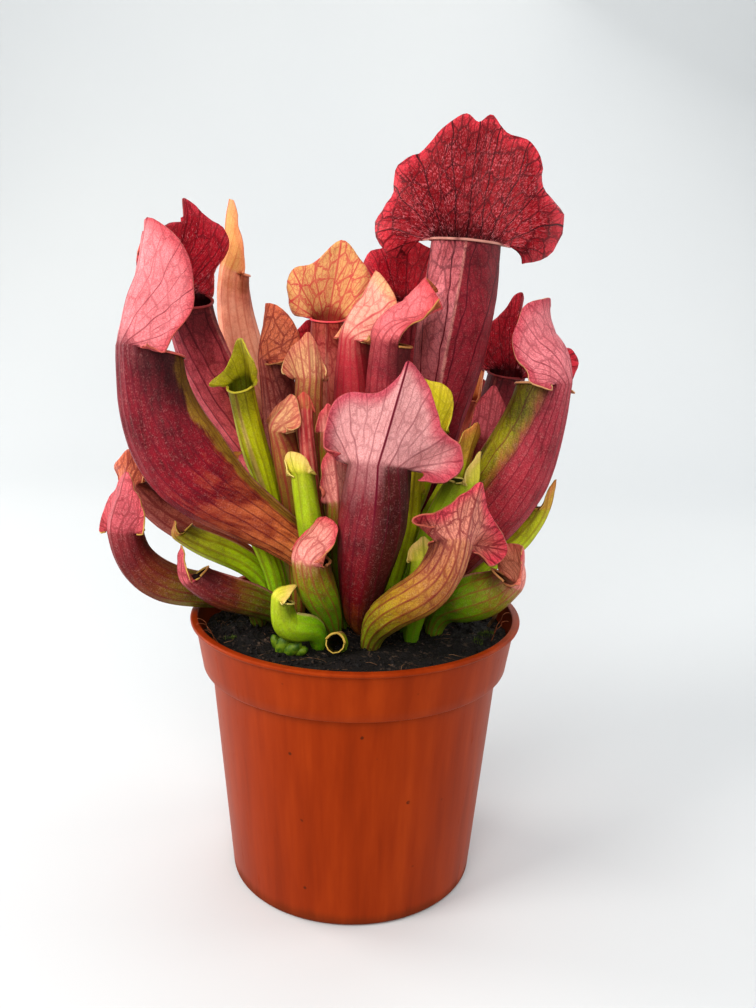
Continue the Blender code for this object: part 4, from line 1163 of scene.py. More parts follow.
def relief(leaf, numbers):
    (across, up, width), (u, stage, edge), (count, seed, _) = numbers
    if stage < 0:
        return 0.0
    scale = leaf.grid.wall / SIZES["large"].wall
    from_vein = abs(count - round(count)) * leaf.vein_step * width
    height = VEIN_HEIGHT * math.exp(-((from_vein / VEIN_WIDTH) ** 2))
    height += 0.3 * noise.noise(Vector((across / 6, up / 11, seed)))
    height += 0.12 * noise.noise(Vector((across / 2.2, up / 4, seed)))
    if stage > 1:
        share = stage - 1
        height += (0.14 + 0.2 * min(1.0, 3 * share)) * math.exp(-((across / MIDRIB_WIDTH) ** 2))
        flutter = noise.noise(Vector((across / 3.4, up / 3.4, seed + 5)))
        height += (0.75 * flutter - 0.3) * math.exp(-((edge / MARGIN_CURL) ** 2)) * min(1.0, 2.5 * share)
        height += 0.5 * share * noise.noise(Vector((across / 9, up / 9, seed + 3)))
    else:
        height += 0.2 * max(0.0, stage - 0.3) * math.exp(-((across / MIDRIB_WIDTH) ** 2))
        seam = (1 - abs(u)) * width
        ridge = math.sin(math.pi * min(1.0, stage + 0.03)) ** 0.6
        height *= min(1.0, seam / 1.2)
        height += ridge * math.exp(-((seam / SEAM_RIDGE) ** 2))
        at_front = min(1.0, max(0.0, abs(u) - leaf.carry) / 0.06)
        height *= 1 - at_front * (1 - min(1.0, (1 - stage) * 14))
    return height * scale


# %% [markdown]
# ## Make a leaf
#
# The lip of the mouth could be a thin ring laid on the edge, but on the plant it is the sheet itself,
# rolled outwards. So the mouth's free edge is extruded four times, each time a bit further round a
# small circle. The extruded faces get the lip's material.

# %% Extrude an edge, and roll the lip
LIP_TURNS = (55, 110, 165, 215)
LIP_MATERIAL = 2
CLOSE = 1e-4


def extruded(work, edges):
    """New points and new edges that run along with the given edges."""
    made = bmesh.ops.extrude_edge_only(work, edges=edges)["geom"]
    points = {item for item in made if isinstance(item, bmesh.types.BMVert)}
    lines = [item for item in made if isinstance(item, bmesh.types.BMEdge)]
    return points, [line for line in lines if points.issuperset(line.verts)]


def mouth_edge(work, leaf, at):
    """The free edges of the mouth, where the hood doesn't carry on the sheet."""
    edges = []
    for line in work.edges:
        marks = [point[at] for point in line.verts]
        if line.is_boundary and all(abs(mark.y - MOUTH) < CLOSE for mark in marks):
            if all(abs(mark.x) > leaf.carry - CLOSE for mark in marks):
                edges.append(line)
    return edges


def roll_lip(work, leaf, at):
    centre, up, _, _ = leaf.frame(MOUTH)
    size = 0.024 * leaf.plan["girth"][-1] + 0.12
    edges = mouth_edge(work, leaf, at)
    starts = {}
    for point in {point for line in edges for point in line.verts}:
        out = point.co - centre
        starts[point] = (point.co.copy(), (out - out.dot(up) * up).normalized())
    for degrees in LIP_TURNS:
        points, edges = extruded(work, edges)
        turn = math.radians(degrees)
        moved = {}
        for point in points:
            under = min(starts, key=lambda start: (start.co - point.co).length_squared)
            begin, out = starts[under]
            place = begin + (out * (1 - math.cos(turn)) + up * math.sin(turn)) * size
            moved[point] = (begin, out, place)
        for point, (begin, out, place) in moved.items():
            point.co = place
            for face in point.link_faces:
                face.material_index = LIP_MATERIAL
        starts = {point: (begin, out) for point, (begin, out, place) in moved.items()}


print("the lip is rolled through", LIP_TURNS[-1], "degrees")

# %% [markdown]
# A grid from bmesh.ops.create_grid is the sheet before it is rolled. Its faces above the mouth's
# front are deleted, its points are moved by the rule, and the seam closes when doubles are merged.
# The same could be drawn face by face, but the operator keeps the rows and columns in order. The
# wall's thickness comes from a Solidify modifier, which also gives the inside and the cut edge
# materials of their own.

# %% Roll the grid into a leaf
LAYERS = ("leaf_mm", "leaf_at", "leaf_vein")
SEAM_GAP = 0.02


def flat_sheet(leaf, rows, mouth_row):
    """The grid before it is rolled, without the part over the mouth's front."""
    last = len(rows) - 1
    work = bmesh.new()
    bmesh.ops.create_grid(work, x_segments=leaf.grid.columns, y_segments=last, size=1.0)
    mouth = 2 * mouth_row / last - 1
    front = []
    for face in work.faces:
        middle = face.calc_center_median()
        if middle.y > mouth and abs(middle.x) > leaf.carry:
            front.append(face)
    bmesh.ops.delete(work, geom=front, context="FACES")
    return work


def turn_outwards(work, leaf, at):
    """An open sheet has no inside, so one point at the back of the tube decides."""
    bmesh.ops.recalc_face_normals(work, faces=work.faces)
    work.normal_update()
    probe = min(work.verts, key=lambda point: abs(point[at].y - 0.5) + abs(point[at].x))
    if probe.normal.dot(probe.co - leaf.centre(0.5)) < 0:
        bmesh.ops.reverse_faces(work, faces=work.faces)
        work.normal_update()


def make_leaf(plan, materials):
    leaf = Pitcher(plan)
    grid = leaf.grid
    rows = [-1.0] + [row / grid.tube_rows for row in range(grid.tube_rows + 1)]
    if not plan["cut"]:
        rows += [1 + (row + 1) / grid.hood_rows for row in range(grid.hood_rows)]
    last = len(rows) - 1
    numbers = sheet_numbers(leaf, rows)
    work = flat_sheet(leaf, rows, grid.tube_rows + 1)
    layers = [work.loops.layers.float_vector.new(name) for name in LAYERS]
    at = work.verts.layers.float_vector.new("at")
    bulge = work.verts.layers.float.new("bulge")
    for point in work.verts:
        column = round((point.co.x + 1) / 2 * grid.columns)
        row = round((point.co.y + 1) / 2 * last)
        here = numbers[row][column]
        for loop in point.link_loops:
            for layer, value in zip(layers, here):
                loop[layer] = value
        point[at] = here[1]
        point[bulge] = relief(leaf, here)
        point.co = leaf.point(2 * column / grid.columns - 1, rows[row])
    bmesh.ops.remove_doubles(work, verts=work.verts, dist=SEAM_GAP)
    turn_outwards(work, leaf, at)
    for point, normal in [(point, point.normal.copy()) for point in work.verts]:
        point.co += normal * point[bulge]
    roll_lip(work, leaf, at)
    piece = finished(work, plan["name"] + "_leaf", materials, plan["name"])
    thick = piece.modifiers.new("wall", "SOLIDIFY")
    thick.thickness = grid.wall * MM
    thick.offset = 0.0
    thick.material_offset = 1
    thick.material_offset_rim = LIP_MATERIAL
    return piece


# %% [markdown]
# ## The finish of a leaf
#
# A leaf changes colour from its green foot over a red tube to a pink hood, and the inside of the
# hood is often darker than its outside. Dark veins run along it, and a net of finer ones joins them.
# Its tissue is mottled and streaked, its margin has a colour of its own, and the hood's inside has
# fine pale hairs that point down into the mouth. Painted shade darkens the folds, the hood's inside
# just above the mouth and the tube's inside, and small painted highlights lie on the mottle and the
# hairs. A painted picture for each leaf would hold one leaf only. All of these are masks over the
# numbers that the mesh carries instead, so one class makes every leaf's finish from a short list of
# colours. Each of its methods lays one layer on the colour.

# %% The numbers of a leaf's mesh, and noise on its unrolled sheet
SKIN = {"Specular IOR Level": 0.2, "Specular Tint": (1.0, 0.8, 0.78, 1.0)}
SEAM_PALE = (240, 200, 180)
# the pale hairs' colour, with a painted glint of light in it
HAIR_GLINT = (240, 128, 136)
MARGIN_WIDTH = 4.6
SEAM_WIDTH = 0.5


class LeafFinish(Finish):
    def __init__(self, name):
        super().__init__(name, SKIN)
        self.across, self.up, self.width = self.attribute("leaf_mm")
        self.u, self.stage, self.edge = self.attribute("leaf_at")
        self.count, self.seed, _ = self.attribute("leaf_vein")
        self.sheet = self.vector(self.across + self.seed * 7, self.up + self.seed * 3)
        self.cloud = self.clouds(self.sheet, 0.16, 3, 0.55)
        self.streak = self.clouds(self.scaled(self.sheet, (0.9, 0.07, 1)), 1.0, 3, 0.6)
        self.fine = self.clouds(self.sheet, 0.9, 3, 0.65)
        self.grain = self.clouds(self.sheet, 3.1, 2, 0.6)

    def deepen(self, share, colour, level):
        return self.blend(share, colour, self.deepened(colour, level))

    def from_foot_to_hood(self, bands, stops):
        """Four colours up the leaf, with uneven borders between them."""
        reach = self.stage + 0.3 * (self.cloud - 0.5) + 0.24 * (self.streak - 0.5)
        ramp = {"stops": list(zip(stops, bands))}
        return self.node("ShaderNodeValToRGB", ramp, {0: reach / 2})

    def one_side(self, colour, tint, start, end):
        """Another tint on one side of the tube, from one u to another."""
        uneven = self.u + 0.16 * (self.cloud - 0.5) + 0.1 * (self.streak - 0.5)
        share = self.rise(uneven, start, end) * (1 - self.rise(self.stage, 0.96, 1.1))
        return self.blend(share, colour, light_of(*tint))

    def edged(self, colour, margin):
        """The margin's own colour, in a strip of uneven width."""
        uneven = self.edge + 4 * (self.cloud - 0.5)
        rim = (1 - self.rise(uneven, 0.2, MARGIN_WIDTH)) * self.rise(self.stage, 1.1, 1.4)
        return self.blend(rim * 0.9, colour, margin)

    def seamed(self, colour, margin):
        """The pale line where the sheet's two edges have grown together."""
        from_seam = (1 - self.u.absolute()) * self.width
        line = (1 - self.rise(from_seam, 0.15, SEAM_WIDTH)) * (1 - self.rise(self.stage, MOUTH, 1.01))
        return self.blend(line * 0.75, colour, self.blend(0.5, margin, light_of(*SEAM_PALE)))

    def mottled(self, colour, strength):
        """Blotches and streaks of deeper colour, pale flecks that are partly the tissue's own and partly
        painted small highlights, and small dark pits.
        """
        patches = self.rise(self.cloud * 0.4 + self.streak * 0.35 + self.fine * 0.25, 0.44, 0.62)
        calm = 1 - 0.6 * self.rise(self.stage, 0.95, 1.2)
        colour = self.deepen(patches * strength * calm, colour, 0.5)
        # pale flecks: partly the tissue's own paler spots, partly painted small highlights
        bloom_and_highlights = self.rise(self.fine * 0.5 + self.grain * 0.5, 0.5, 0.62)
        paler = self.mixed("SCREEN", colour, (0.2, 0.1, 0.09, 1))
        colour = self.blend(bloom_and_highlights * strength * 0.8, colour, paler)
        return self.deepen(self.rise(self.grain, 0.52, 0.36) * strength * 0.7, colour, 0.8)


# %% [markdown]
# The veins are the strongest sign of a trumpet pitcher. A whole vein count marks each main vein, so
# the distance to the nearest whole number, times the sheet's width, is the way to that vein in
# millimetres. Counts of two and four times as many give the finer veins that appear as the hood
# widens. The net between them is a Voronoi pattern that is stretched along the leaf and bent by
# noise. Shade in the folds is laid on as deeper colour, because a plant's own red light fills them.

# %% Veins, net and midrib
VEIN_SCALE = 0.16


class VeinedFinish(LeafFinish):
    def vein_lines(self):
        """Main veins, and finer ones between them where the hood is wide."""
        main = self.count.to_nearest() * self.width
        between = (self.count * 2).to_nearest() * self.width * 0.5
        quarter = (self.count * 4).to_nearest() * self.width * 0.25
        opened = self.rise(self.stage, 1.12, 1.5)
        far = self.rise(self.stage, 1.4, 1.75)
        lines = 1 - self.rise(main * VEIN_SCALE, 0.1, 0.36)
        lines = lines.at_least((1 - self.rise(between * VEIN_SCALE, 0.06, 0.26)) * opened * 0.8)
        return lines.at_least((1 - self.rise(quarter * VEIN_SCALE, 0.04, 0.2)) * far * 0.55)

    def vein_net(self):
        across = self.across + self.seed * 7 + 1.6 * (self.fine - 0.5)
        bent = self.vector(across, (self.up + 3 * (self.fine - 0.5)) * 0.62)
        coarse = (1 - self.rise(self.net(bent, 0.3), 0.02, 0.11)) * 0.85
        return coarse.at_least((1 - self.rise(self.net(bent, 0.8), 0.03, 0.13)) * 0.5)

    def veined(self, veins, net, midrib):
        """How dark the lines are at a place, from 0 to 1."""
        near_middle = 1 - self.rise(self.across.absolute(), 0.1, 0.34)
        spine = near_middle * self.rise(self.stage, 0.6, 0.9) * midrib
        uneven = 0.4 + 0.9 * self.clouds(self.sheet, 0.33, 2)
        fading = 0.45 + 0.55 * self.rise(self.stage, 0.5, 1.2)
        dark = (self.vein_lines() * veins).at_least(self.vein_net() * net * fading)
        return (dark * uneven).at_least(spine).at_most(1.0)

    def shaded_folds(self, colour, dusk):
        """Painted shade: deeper colour in the fold at the mouth's sides, and a painted shadow under the lip.
        """
        sides = self.u.absolute()
        # painted shade in the fold at the mouth's sides
        crease_shade = 1 - self.rise((self.stage - 1.02).absolute(), 0.02, 0.22)
        colour = self.deepen(crease_shade * self.rise(sides, 0.3, 0.6) * dusk, colour, 0.25)
        # painted shadow of the rolled lip on the tube just under it
        under = self.rise(self.stage, 0.8, 0.97) * (1 - self.rise(self.stage, MOUTH, 1.05))
        under = under * self.rise(sides + 0.2 * (self.cloud - 0.5), 0.55, 0.75)
        return self.deepen(under * dusk, colour, 0.25)

    def throat_shade_and_hairs(self, colour, strength, dark):
        """Painted shade on the hood's inside just above the mouth, and fine pale strokes up the hood between
        the veins: pale hairs with a painted glint on them.
        """
        # painted shade on the hood's inside just above the mouth
        throat_shade = 1 - self.rise(self.stage + 0.1 * (self.cloud - 0.5), 1.04, 1.34)
        colour = self.deepen(throat_shade * 0.7, colour, 0.2)
        strands = self.vector(self.count * 20.0 + 1.6 * self.fine, self.up * 1.5)
        threads = self.rise(self.clouds(strands, 1.0, 2, 0.5), 0.52, 0.62)
        # pale hairs, with a painted glint of light on them
        glints = threads * self.rise(self.clouds(self.sheet, 0.25), 0.3, 0.62)
        glints = glints * self.rise(self.edge, 1.5, 6.5) * self.rise(self.stage, 1.02, 1.15)
        return self.blend(glints * (1 - 0.85 * dark) * strength, colour, light_of(*HAIR_GLINT))


# %% [markdown]
# One function lays the layers over each other, from the ground colour to the hairs. The relief rises
# with the veins and the fine noise. Roughness changes with the same noise, so that a highlight
# breaks up over a leaf as it does on a real one.

# %% Outside and inside of a leaf, and its lip
STOPS = (0.02, 0.22, 0.46, 0.6)


def leaf_finish(name, colours, veins, net, mottle, stops=STOPS, midrib=0.7, dusk=0.6, hairs=0, side=None):
    """colours runs from the foot over the tube and the mouth to the hood and its margin, then the veins."""
    *bands, margin, vein = [light_of(*colour) for colour in colours]
    finish = VeinedFinish(name)
    colour = finish.from_foot_to_hood(bands, stops)
    if side:
        colour = finish.one_side(colour, *side)
    colour = finish.seamed(finish.edged(colour, margin), margin)
    colour = finish.mottled(colour, mottle)
    dark = finish.veined(veins, net, midrib)
    # painted shade in the folds and under the lip, as deep as dusk says
    colour = finish.shaded_folds(finish.blend(dark, colour, vein), dusk)
    if hairs:
        colour = finish.throat_shade_and_hairs(colour, hairs, dark)
    rough = 0.3 + 0.22 * finish.cloud + 0.2 * finish.fine - 0.08 * dark
    finish.surface(Base_Color=colour, Roughness=rough)
    finish.relief(dark * 0.5 + finish.fine * 0.9 + finish.grain * 0.4, 0.7, 0.2)
    return finish.material


def lip_finish(name, colour, dark):
    """The mouth's rolled lip and the thin cut edge of the margin."""
    finish = Finish(name, SKIN)
    place = finish.place()
    cloud = finish.clouds(place, 190, 3)
    tint = finish.blend(finish.rise(cloud, 0.45, 0.8), light_of(*colour), light_of(*dark))
    finish.surface(Base_Color=tint, Roughness=0.3 + 0.2 * cloud)
    finish.relief(finish.clouds(place, 1800, 2), 0.3, 0.08)
    return finish.material


print("layers of a leaf's finish: ground, side, margin, seam, mottle, veins, folds, hairs")

# %% [markdown]
# ## The colours of the leaves
#
# The leaves are in eighteen states: crimson, salmon, mauve, peach, amber, rust, lime and green among
# them. Each leaf could have colours of its own, but on the plant leaves of one age look alike. Each
# state is a list of six colours for the outside and six for the inside, in the order foot, tube,
# mouth, hood, margin and veins, written as a screen shows them. Leaves of the same state share their
# materials, and the pattern still differs from leaf to leaf, because each mesh carries a seed. The
# entry side is another tint on one side of the tube, and dusk is how deep the colour gets in the
# folds.

# %% States of the leaves
# inside lists: their dark foot, tube and mouth are painted shade of the deep tube; dusk sets the painted fold
# shade
LOOKS = {
    "tall": dict(
        outside=[
            (150, 66, 40), (160, 52, 60), (234, 148, 152), (186, 60, 76), (206, 84, 92), (100, 12, 32),
        ],
        inside=[(30, 4, 8), (36, 4, 8), (50, 4, 12), (150, 4, 24), (222, 64, 78), (64, 0, 10)],
        dusk=0.3, lip=[(196, 140, 126), (100, 40, 46)], side=((160, 44, 58), -0.02, 0.12),
        veins=1.1, net=1.0, hairs=0.5, mottle=0.7, stops=(0.02, 0.26, 0.4, 0.6),
    ),
    "crimson": dict(
        outside=[
            (140, 104, 40), (246, 122, 130), (186, 74, 86), (226, 120, 126), (226, 110, 116), (100, 12, 34),
        ],
        inside=[(30, 6, 10), (40, 6, 12), (110, 8, 24), (190, 22, 46), (214, 60, 76), (84, 2, 18)],
        lip=[(150, 60, 60), (70, 20, 24)], veins=0.8, net=0.75, hairs=0.2, mottle=0.7,
    ),
    "left_large": dict(
        outside=[
            (236, 144, 84), (148, 18, 38), (120, 34, 46), (232, 136, 140), (206, 84, 92), (106, 16, 36),
        ],
        inside=[
            (24, 8, 8), (34, 10, 10), (60, 20, 20), (206, 92, 92), (214, 104, 104), (120, 24, 36),
        ],
        lip=[(204, 100, 90), (130, 96, 50)], side=((178, 140, 50), -0.745, -0.8),
        veins=0.75, net=0.5, mottle=0.8, stops=(0.15, 0.34, 0.5, 0.6),
    ),
    "salmon": dict(
        outside=[
            (150, 140, 30), (214, 84, 86), (160, 56, 66), (236, 126, 128), (230, 90, 96), (120, 24, 40),
        ],
        inside=[
            (40, 14, 6), (60, 20, 10), (110, 50, 20), (190, 126, 50), (200, 110, 70), (120, 50, 30),
        ],
        lip=[(196, 140, 80), (110, 50, 36)], veins=0.65, net=0.6, mottle=0.7,
    ),
    "right_large": dict(
        outside=[
            (176, 150, 36), (176, 48, 56), (170, 62, 74), (222, 132, 138), (200, 80, 94), (112, 14, 36),
        ],
        inside=[
            (50, 20, 8), (70, 30, 10), (120, 60, 24), (190, 128, 50), (200, 120, 70), (120, 60, 26),
        ],
        lip=[(206, 156, 110), (120, 56, 50)], side=((164, 160, 28), 0.56, 0.72),
        veins=0.75, net=0.6, mottle=0.85, stops=(0.04, 0.2, 0.46, 0.6),
    ),
    "front": dict(
        outside=[
            (206, 116, 34), (136, 18, 30), (130, 44, 52), (218, 158, 156), (196, 74, 92), (104, 2, 34),
        ],
        inside=[
            (34, 10, 10), (44, 12, 12), (70, 18, 20), (160, 40, 50), (180, 70, 76), (86, 12, 24),
        ],
        lip=[(200, 100, 96), (130, 60, 60)], side=((84, 28, 24), 0.02, -0.14),
        veins=0.6, net=0.42, mottle=0.7, midrib=1.0, stops=(0.06, 0.2, 0.43, 0.56),
    ),
    "mauve": dict(
        outside=[
            (150, 116, 40), (150, 56, 56), (150, 56, 60), (200, 112, 112), (184, 80, 84), (110, 20, 36),
        ],
        inside=[
            (34, 10, 10), (44, 12, 14), (70, 18, 20), (150, 36, 46), (170, 66, 70), (86, 12, 24),
        ],
        lip=[(190, 110, 90), (130, 60, 50)], veins=0.65, net=0.55, mottle=0.7,
    ),
    "netted": dict(
        outside=[
            (150, 160, 20), (176, 140, 34), (186, 126, 70), (214, 140, 120), (222, 70, 92), (120, 20, 36),
        ],
        inside=[
            (40, 22, 10), (60, 24, 12), (90, 40, 20), (170, 80, 66), (180, 84, 80), (100, 30, 30),
        ],
        lip=[(186, 100, 80), (110, 50, 40)], veins=0.8, net=1.0, mottle=0.65,
        stops=(0.06, 0.24, 0.42, 0.56),
    ),
    "rose": dict(
        outside=[
            (170, 120, 40), (190, 58, 60), (200, 70, 76), (244, 180, 158), (240, 180, 130), (186, 40, 60),
        ],
        inside=[
            (60, 20, 14), (90, 24, 24), (120, 40, 34), (230, 150, 110), (236, 190, 120), (180, 70, 54),
        ],
        lip=[(232, 190, 130), (206, 120, 90)], veins=0.8, net=0.6, mottle=0.6,
    ),
    "peach": dict(
        outside=[
            (186, 130, 60), (250, 206, 168), (248, 176, 146), (228, 170, 104), (236, 160, 110), (200, 80, 50),
        ],
        inside=[
            (90, 40, 16), (150, 70, 34), (206, 100, 60), (232, 164, 90), (236, 170, 110), (200, 96, 60),
        ],
        lip=[(240, 160, 120), (220, 130, 100)], veins=0.4, net=0.3, mottle=0.5,
    ),
    "amber": dict(
        outside=[
            (170, 140, 40), (250, 180, 136), (250, 150, 138), (224, 170, 104), (230, 150, 110), (196, 40, 56),
        ],
        inside=[
            (60, 30, 12), (110, 40, 20), (200, 84, 66), (222, 172, 112), (226, 174, 112), (200, 50, 66),
        ],
        lip=[(232, 90, 100), (216, 120, 90)], veins=0.9, net=1.0, mottle=0.35,
    ),
    "rust": dict(
        outside=[
            (150, 150, 30), (160, 90, 60), (190, 110, 98), (214, 126, 90), (214, 116, 80), (120, 24, 34),
        ],
        inside=[
            (40, 20, 8), (70, 24, 14), (120, 40, 26), (196, 96, 50), (206, 116, 66), (126, 30, 26),
        ],
        lip=[(206, 150, 96), (150, 84, 50)], veins=0.75, net=0.95, mottle=0.8,
    ),
    "tan": dict(
        outside=[
            (150, 160, 24), (170, 150, 30), (196, 140, 80), (230, 180, 130), (228, 150, 116), (170, 50, 60),
        ],
        inside=[
            (50, 40, 10), (90, 70, 20), (150, 90, 40), (220, 158, 100), (226, 150, 106), (160, 70, 50),
        ],
        lip=[(226, 186, 130), (190, 130, 80)], veins=0.8, net=0.75, mottle=0.6,
    ),
    "dusky": dict(
        outside=[
            (108, 140, 12), (126, 68, 30), (126, 40, 40), (200, 96, 104), (206, 90, 98), (110, 24, 30),
        ],
        inside=[
            (40, 30, 8), (60, 34, 12), (96, 50, 30), (170, 90, 76), (180, 90, 76), (110, 40, 30),
        ],
        lip=[(196, 160, 80), (150, 96, 60)], veins=0.65, net=0.75, mottle=0.75,
        stops=(0.15, 0.36, 0.46, 0.58),
    ),
    "blush": dict(
        outside=[
            (110, 164, 4), (128, 160, 10), (140, 130, 24), (234, 158, 144), (228, 96, 104), (150, 36, 44),
        ],
        inside=[
            (40, 60, 6), (70, 90, 10), (140, 120, 30), (228, 150, 120), (230, 130, 110), (160, 70, 50),
        ],
        lip=[(196, 140, 90), (150, 90, 60)], veins=0.6, net=0.75, mottle=0.6,
        stops=(0.16, 0.34, 0.46, 0.55),
    ),
    "lime": dict(
        outside=[
            (146, 206, 10), (214, 234, 22), (216, 212, 30), (228, 214, 44), (232, 210, 60), (140, 116, 10),
        ],
        inside=[
            (50, 80, 4), (90, 120, 8), (150, 160, 20), (196, 190, 24), (206, 196, 50), (130, 110, 14),
        ],
        lip=[(210, 200, 70), (180, 150, 50)], veins=0.5, net=0.4, mottle=0.65,
    ),
    "green": dict(
        outside=[
            (146, 206, 10), (196, 226, 22), (196, 200, 36), (206, 166, 60), (206, 130, 70), (120, 66, 20),
        ],
        inside=[
            (36, 54, 4), (60, 80, 8), (120, 110, 20), (170, 140, 40), (190, 140, 70), (110, 70, 20),
        ],
        lip=[(200, 170, 80), (170, 130, 60)], veins=0.5, net=0.5, mottle=0.65,
    ),
    "pale": dict(
        outside=[
            (120, 182, 8), (156, 198, 16), (176, 196, 34), (214, 206, 70), (232, 196, 120), (140, 140, 30),
        ],
        inside=[
            (60, 90, 6), (100, 130, 14), (150, 170, 40), (206, 200, 80), (226, 196, 120), (150, 150, 40),
        ],
        lip=[(226, 210, 120), (200, 170, 80)], veins=0.35, net=0.35, mottle=0.55,
    ),
}
print("states:", len(LOOKS), "used:", len({plan["state"] for plan in PITCHERS}))

# %% [markdown]
# Now all leaves are made by one loop. A leaf carries five materials, because Solidify moves a face's
# material on by one for the inside and to the lip's for the cut edge.


# %% Make every leaf
HAIR_STRENGTH = 0.15


def leaf_materials(state):
    look = LOOKS[state]
    shared = {key: look[key] for key in ("veins", "net", "mottle", "stops", "midrib") if key in look}
    outer = {key: look[key] for key in ("side", "dusk") if key in look}
    outside = leaf_finish(f"leaf {state}", look["outside"], **outer, **shared)
    inside = leaf_finish(
        f"leaf {state} inside", look["inside"], hairs=look.get("hairs", HAIR_STRENGTH), **shared
    )
    lip = lip_finish(f"leaf {state} lip", *look["lip"])
    return [outside, inside, lip, lip, lip]


finishes = {state: leaf_materials(state) for state in LOOKS}
for plan in PITCHERS:
    piece = make_leaf(plan, finishes[plan["state"]])
    print(piece.name, "faces of the sheet:", len(piece.data.polygons))


# %% [markdown]
# ## Hairs in the hoods
#
# The inner side of a trumpet pitcher's hood is set with short stiff hairs that point down to the
# mouth. They are most of the pale shimmer on the big red hoods. A hair system could draw them, but it
# isn't a mesh. Each hair is a cone with three sides instead, rooted just under the surface and leaning
# towards the mouth, so thousands of them stay light. They stand on the four red hoods whose inner
# side is turned to the viewer or to the side.

# %% Hairs on the red hoods
HAIRY = {
    "pitcher_tall": 2600,
    "pitcher_behind_tall": 700,
    "pitcher_left_back": 900,
    "pitcher_right_back": 600,
}
HAIR_LENGTH = (0.55, 1.15)
HAIR_THICKNESS = (0.035, 0.06)
NEARBY = 0.004


def hair_finish():
    finish = Finish("hood hair", {"Specular IOR Level": 0.4})
    cloud = finish.clouds(finish.place(), 500)
    tint = finish.blend(finish.rise(cloud, 0.35, 0.65), light_of(180, 40, 56), light_of(240, 150, 154))
    finish.surface(Base_Color=tint, Roughness=0.3 + 0.2 * cloud)
    return finish.material


def inner_side(leaf, u, stage):
    """A place on the hood, the direction of its inner side and the direction down to the mouth."""
    here = leaf.point(u, stage)
    along_u = leaf.point(u + NEARBY, stage) - here
    upward = leaf.point(u, stage + NEARBY) - here
    inward = along_u.cross(upward).normalized()
    return here, inward, -upward.normalized()


def add_hair(work, root, tip, across, inward, thick):
    """A cone with three sides, whose matrix puts two corners beside the root and one above it."""
    deep = inward * thick
    wide = across * thick / math.sin(math.radians(120))
    foot = root + deep / 2
    shape = Matrix((wide, deep, tip - foot)).transposed().to_4x4()
    shape.translation = (foot + tip) / 2
    bmesh.ops.create_cone(
        work, cap_ends=True, segments=3, radius1=1, radius2=0, depth=1, matrix=shape
    )


def make_hairs(plan, wanted, material):
    leaf = Pitcher(plan)
    _, inward, _ = inner_side(leaf, 0.0, 1.3)
    sign = 1.0 if inward.dot(leaf.frame(MOUTH)[2]) > 0 else -1.0
    work = bmesh.new()
    chance = random.Random(plan["name"])
    for _ in range(wanted):
        stage = 1 + 0.06 + 0.84 * chance.random() ** 0.8
        u = leaf.carry * (2 * chance.random() - 1) * 0.94
        if noise.noise(Vector((u * 14, stage * 7, 2.0))) < -0.22 and chance.random() < 0.7:
            continue
        here, inward, down = inner_side(leaf, u, stage)
        inward = inward * sign
        length = chance.uniform(*HAIR_LENGTH)
        thick = chance.uniform(*HAIR_THICKNESS)
        root = here + inward * (leaf.grid.wall / 2 - 0.06)
        tip = root + (inward * chance.uniform(0.25, 0.5) + down * 0.9) * length
        add_hair(work, root, tip, inward.cross(down).normalized(), inward, thick)
    bmesh.ops.recalc_face_normals(work, faces=work.faces)
    return finished(work, plan["name"] + "_hairs", [material], smooth=False)


hair = hair_finish()
for plan in PITCHERS:
    if plan["name"] in HAIRY:
        hairs = make_hairs(plan, HAIRY[plan["name"]], hair)
        print(hairs.name, "faces:", len(hairs.data.polygons))

# %% [markdown]
# ## Fibres, moss and a dried stalk
#
# Peat holds thin brown fibres, and fine roots curl over it at the pot's edge. Here and there moss has
# settled, and the stump of a dried stalk stands at the right. Curves with a bevel could make them,
# but a curve has the same ring all along unless each point is edited. Here all of them are threads: a
# small circle is extruded along a line of places, laid square to the line at each of them, made
# smaller from step to step and closed at its end.

# %% A thread along a line of places
CIRCLE_START = Vector((0.0, 1.0, 0.0))  # where the operator sets a circle's first point


def ring_frames(places, thick, taper):
    """For each place the matrix that lays a circle of radius 1 round the line there."""
    frames = []
    befores = [places[0]] + places[:-1]
    afters = places[1:] + [places[-1]]
    for step, (before, place, after) in enumerate(zip(befores, places, afters)):
        ahead = (after - before).normalized()
        across = ahead.orthogonal().normalized()
        frame = Matrix((across.cross(ahead), across, ahead)).transposed().to_4x4()
        size = thick * (1 - taper * step / (len(places) - 1))
        frames.append(Matrix.Translation(place) @ frame @ Matrix.Scale(size, 4))
    return frames


def thread(work, places, thick, sides=6, taper=0.6):
    """Each ring moves on by the turn that brings its points nearest, so that the thread isn't twisted."""
    frames = ring_frames(places, thick, taper)
    turns = [Matrix.Rotation(2 * math.pi * side / sides, 4, "Z") for side in range(sides)]
    made = bmesh.ops.create_circle(work, cap_ends=True, segments=sides, radius=1, matrix=frames[0])
    ring = set(made["verts"])
    edges = [line for line in made["verts"][0].link_faces[0].edges if ring.issuperset(line.verts)]
    for here, there in zip(frames, frames[1:]):
        start = here @ CIRCLE_START
        turn = min(turns, key=lambda option: (there @ option @ CIRCLE_START - start).length)
        ring, edges = extruded(work, edges)
        bmesh.ops.transform(work, matrix=there @ turn @ here.inverted(), verts=list(ring))
    bmesh.ops.edgeloop_fill(work, edges=edges)


def thread_finish(name, first, second, rough=0.6):
    finish = Finish(name, {"Specular IOR Level": 0.35})
    cloud = finish.clouds(finish.place(), 600, 3)
    tint = finish.blend(finish.rise(cloud, 0.35, 0.65), light_of(*first), light_of(*second))
    finish.surface(Base_Color=tint, Roughness=rough + 0.2 * cloud)
    return finish.material


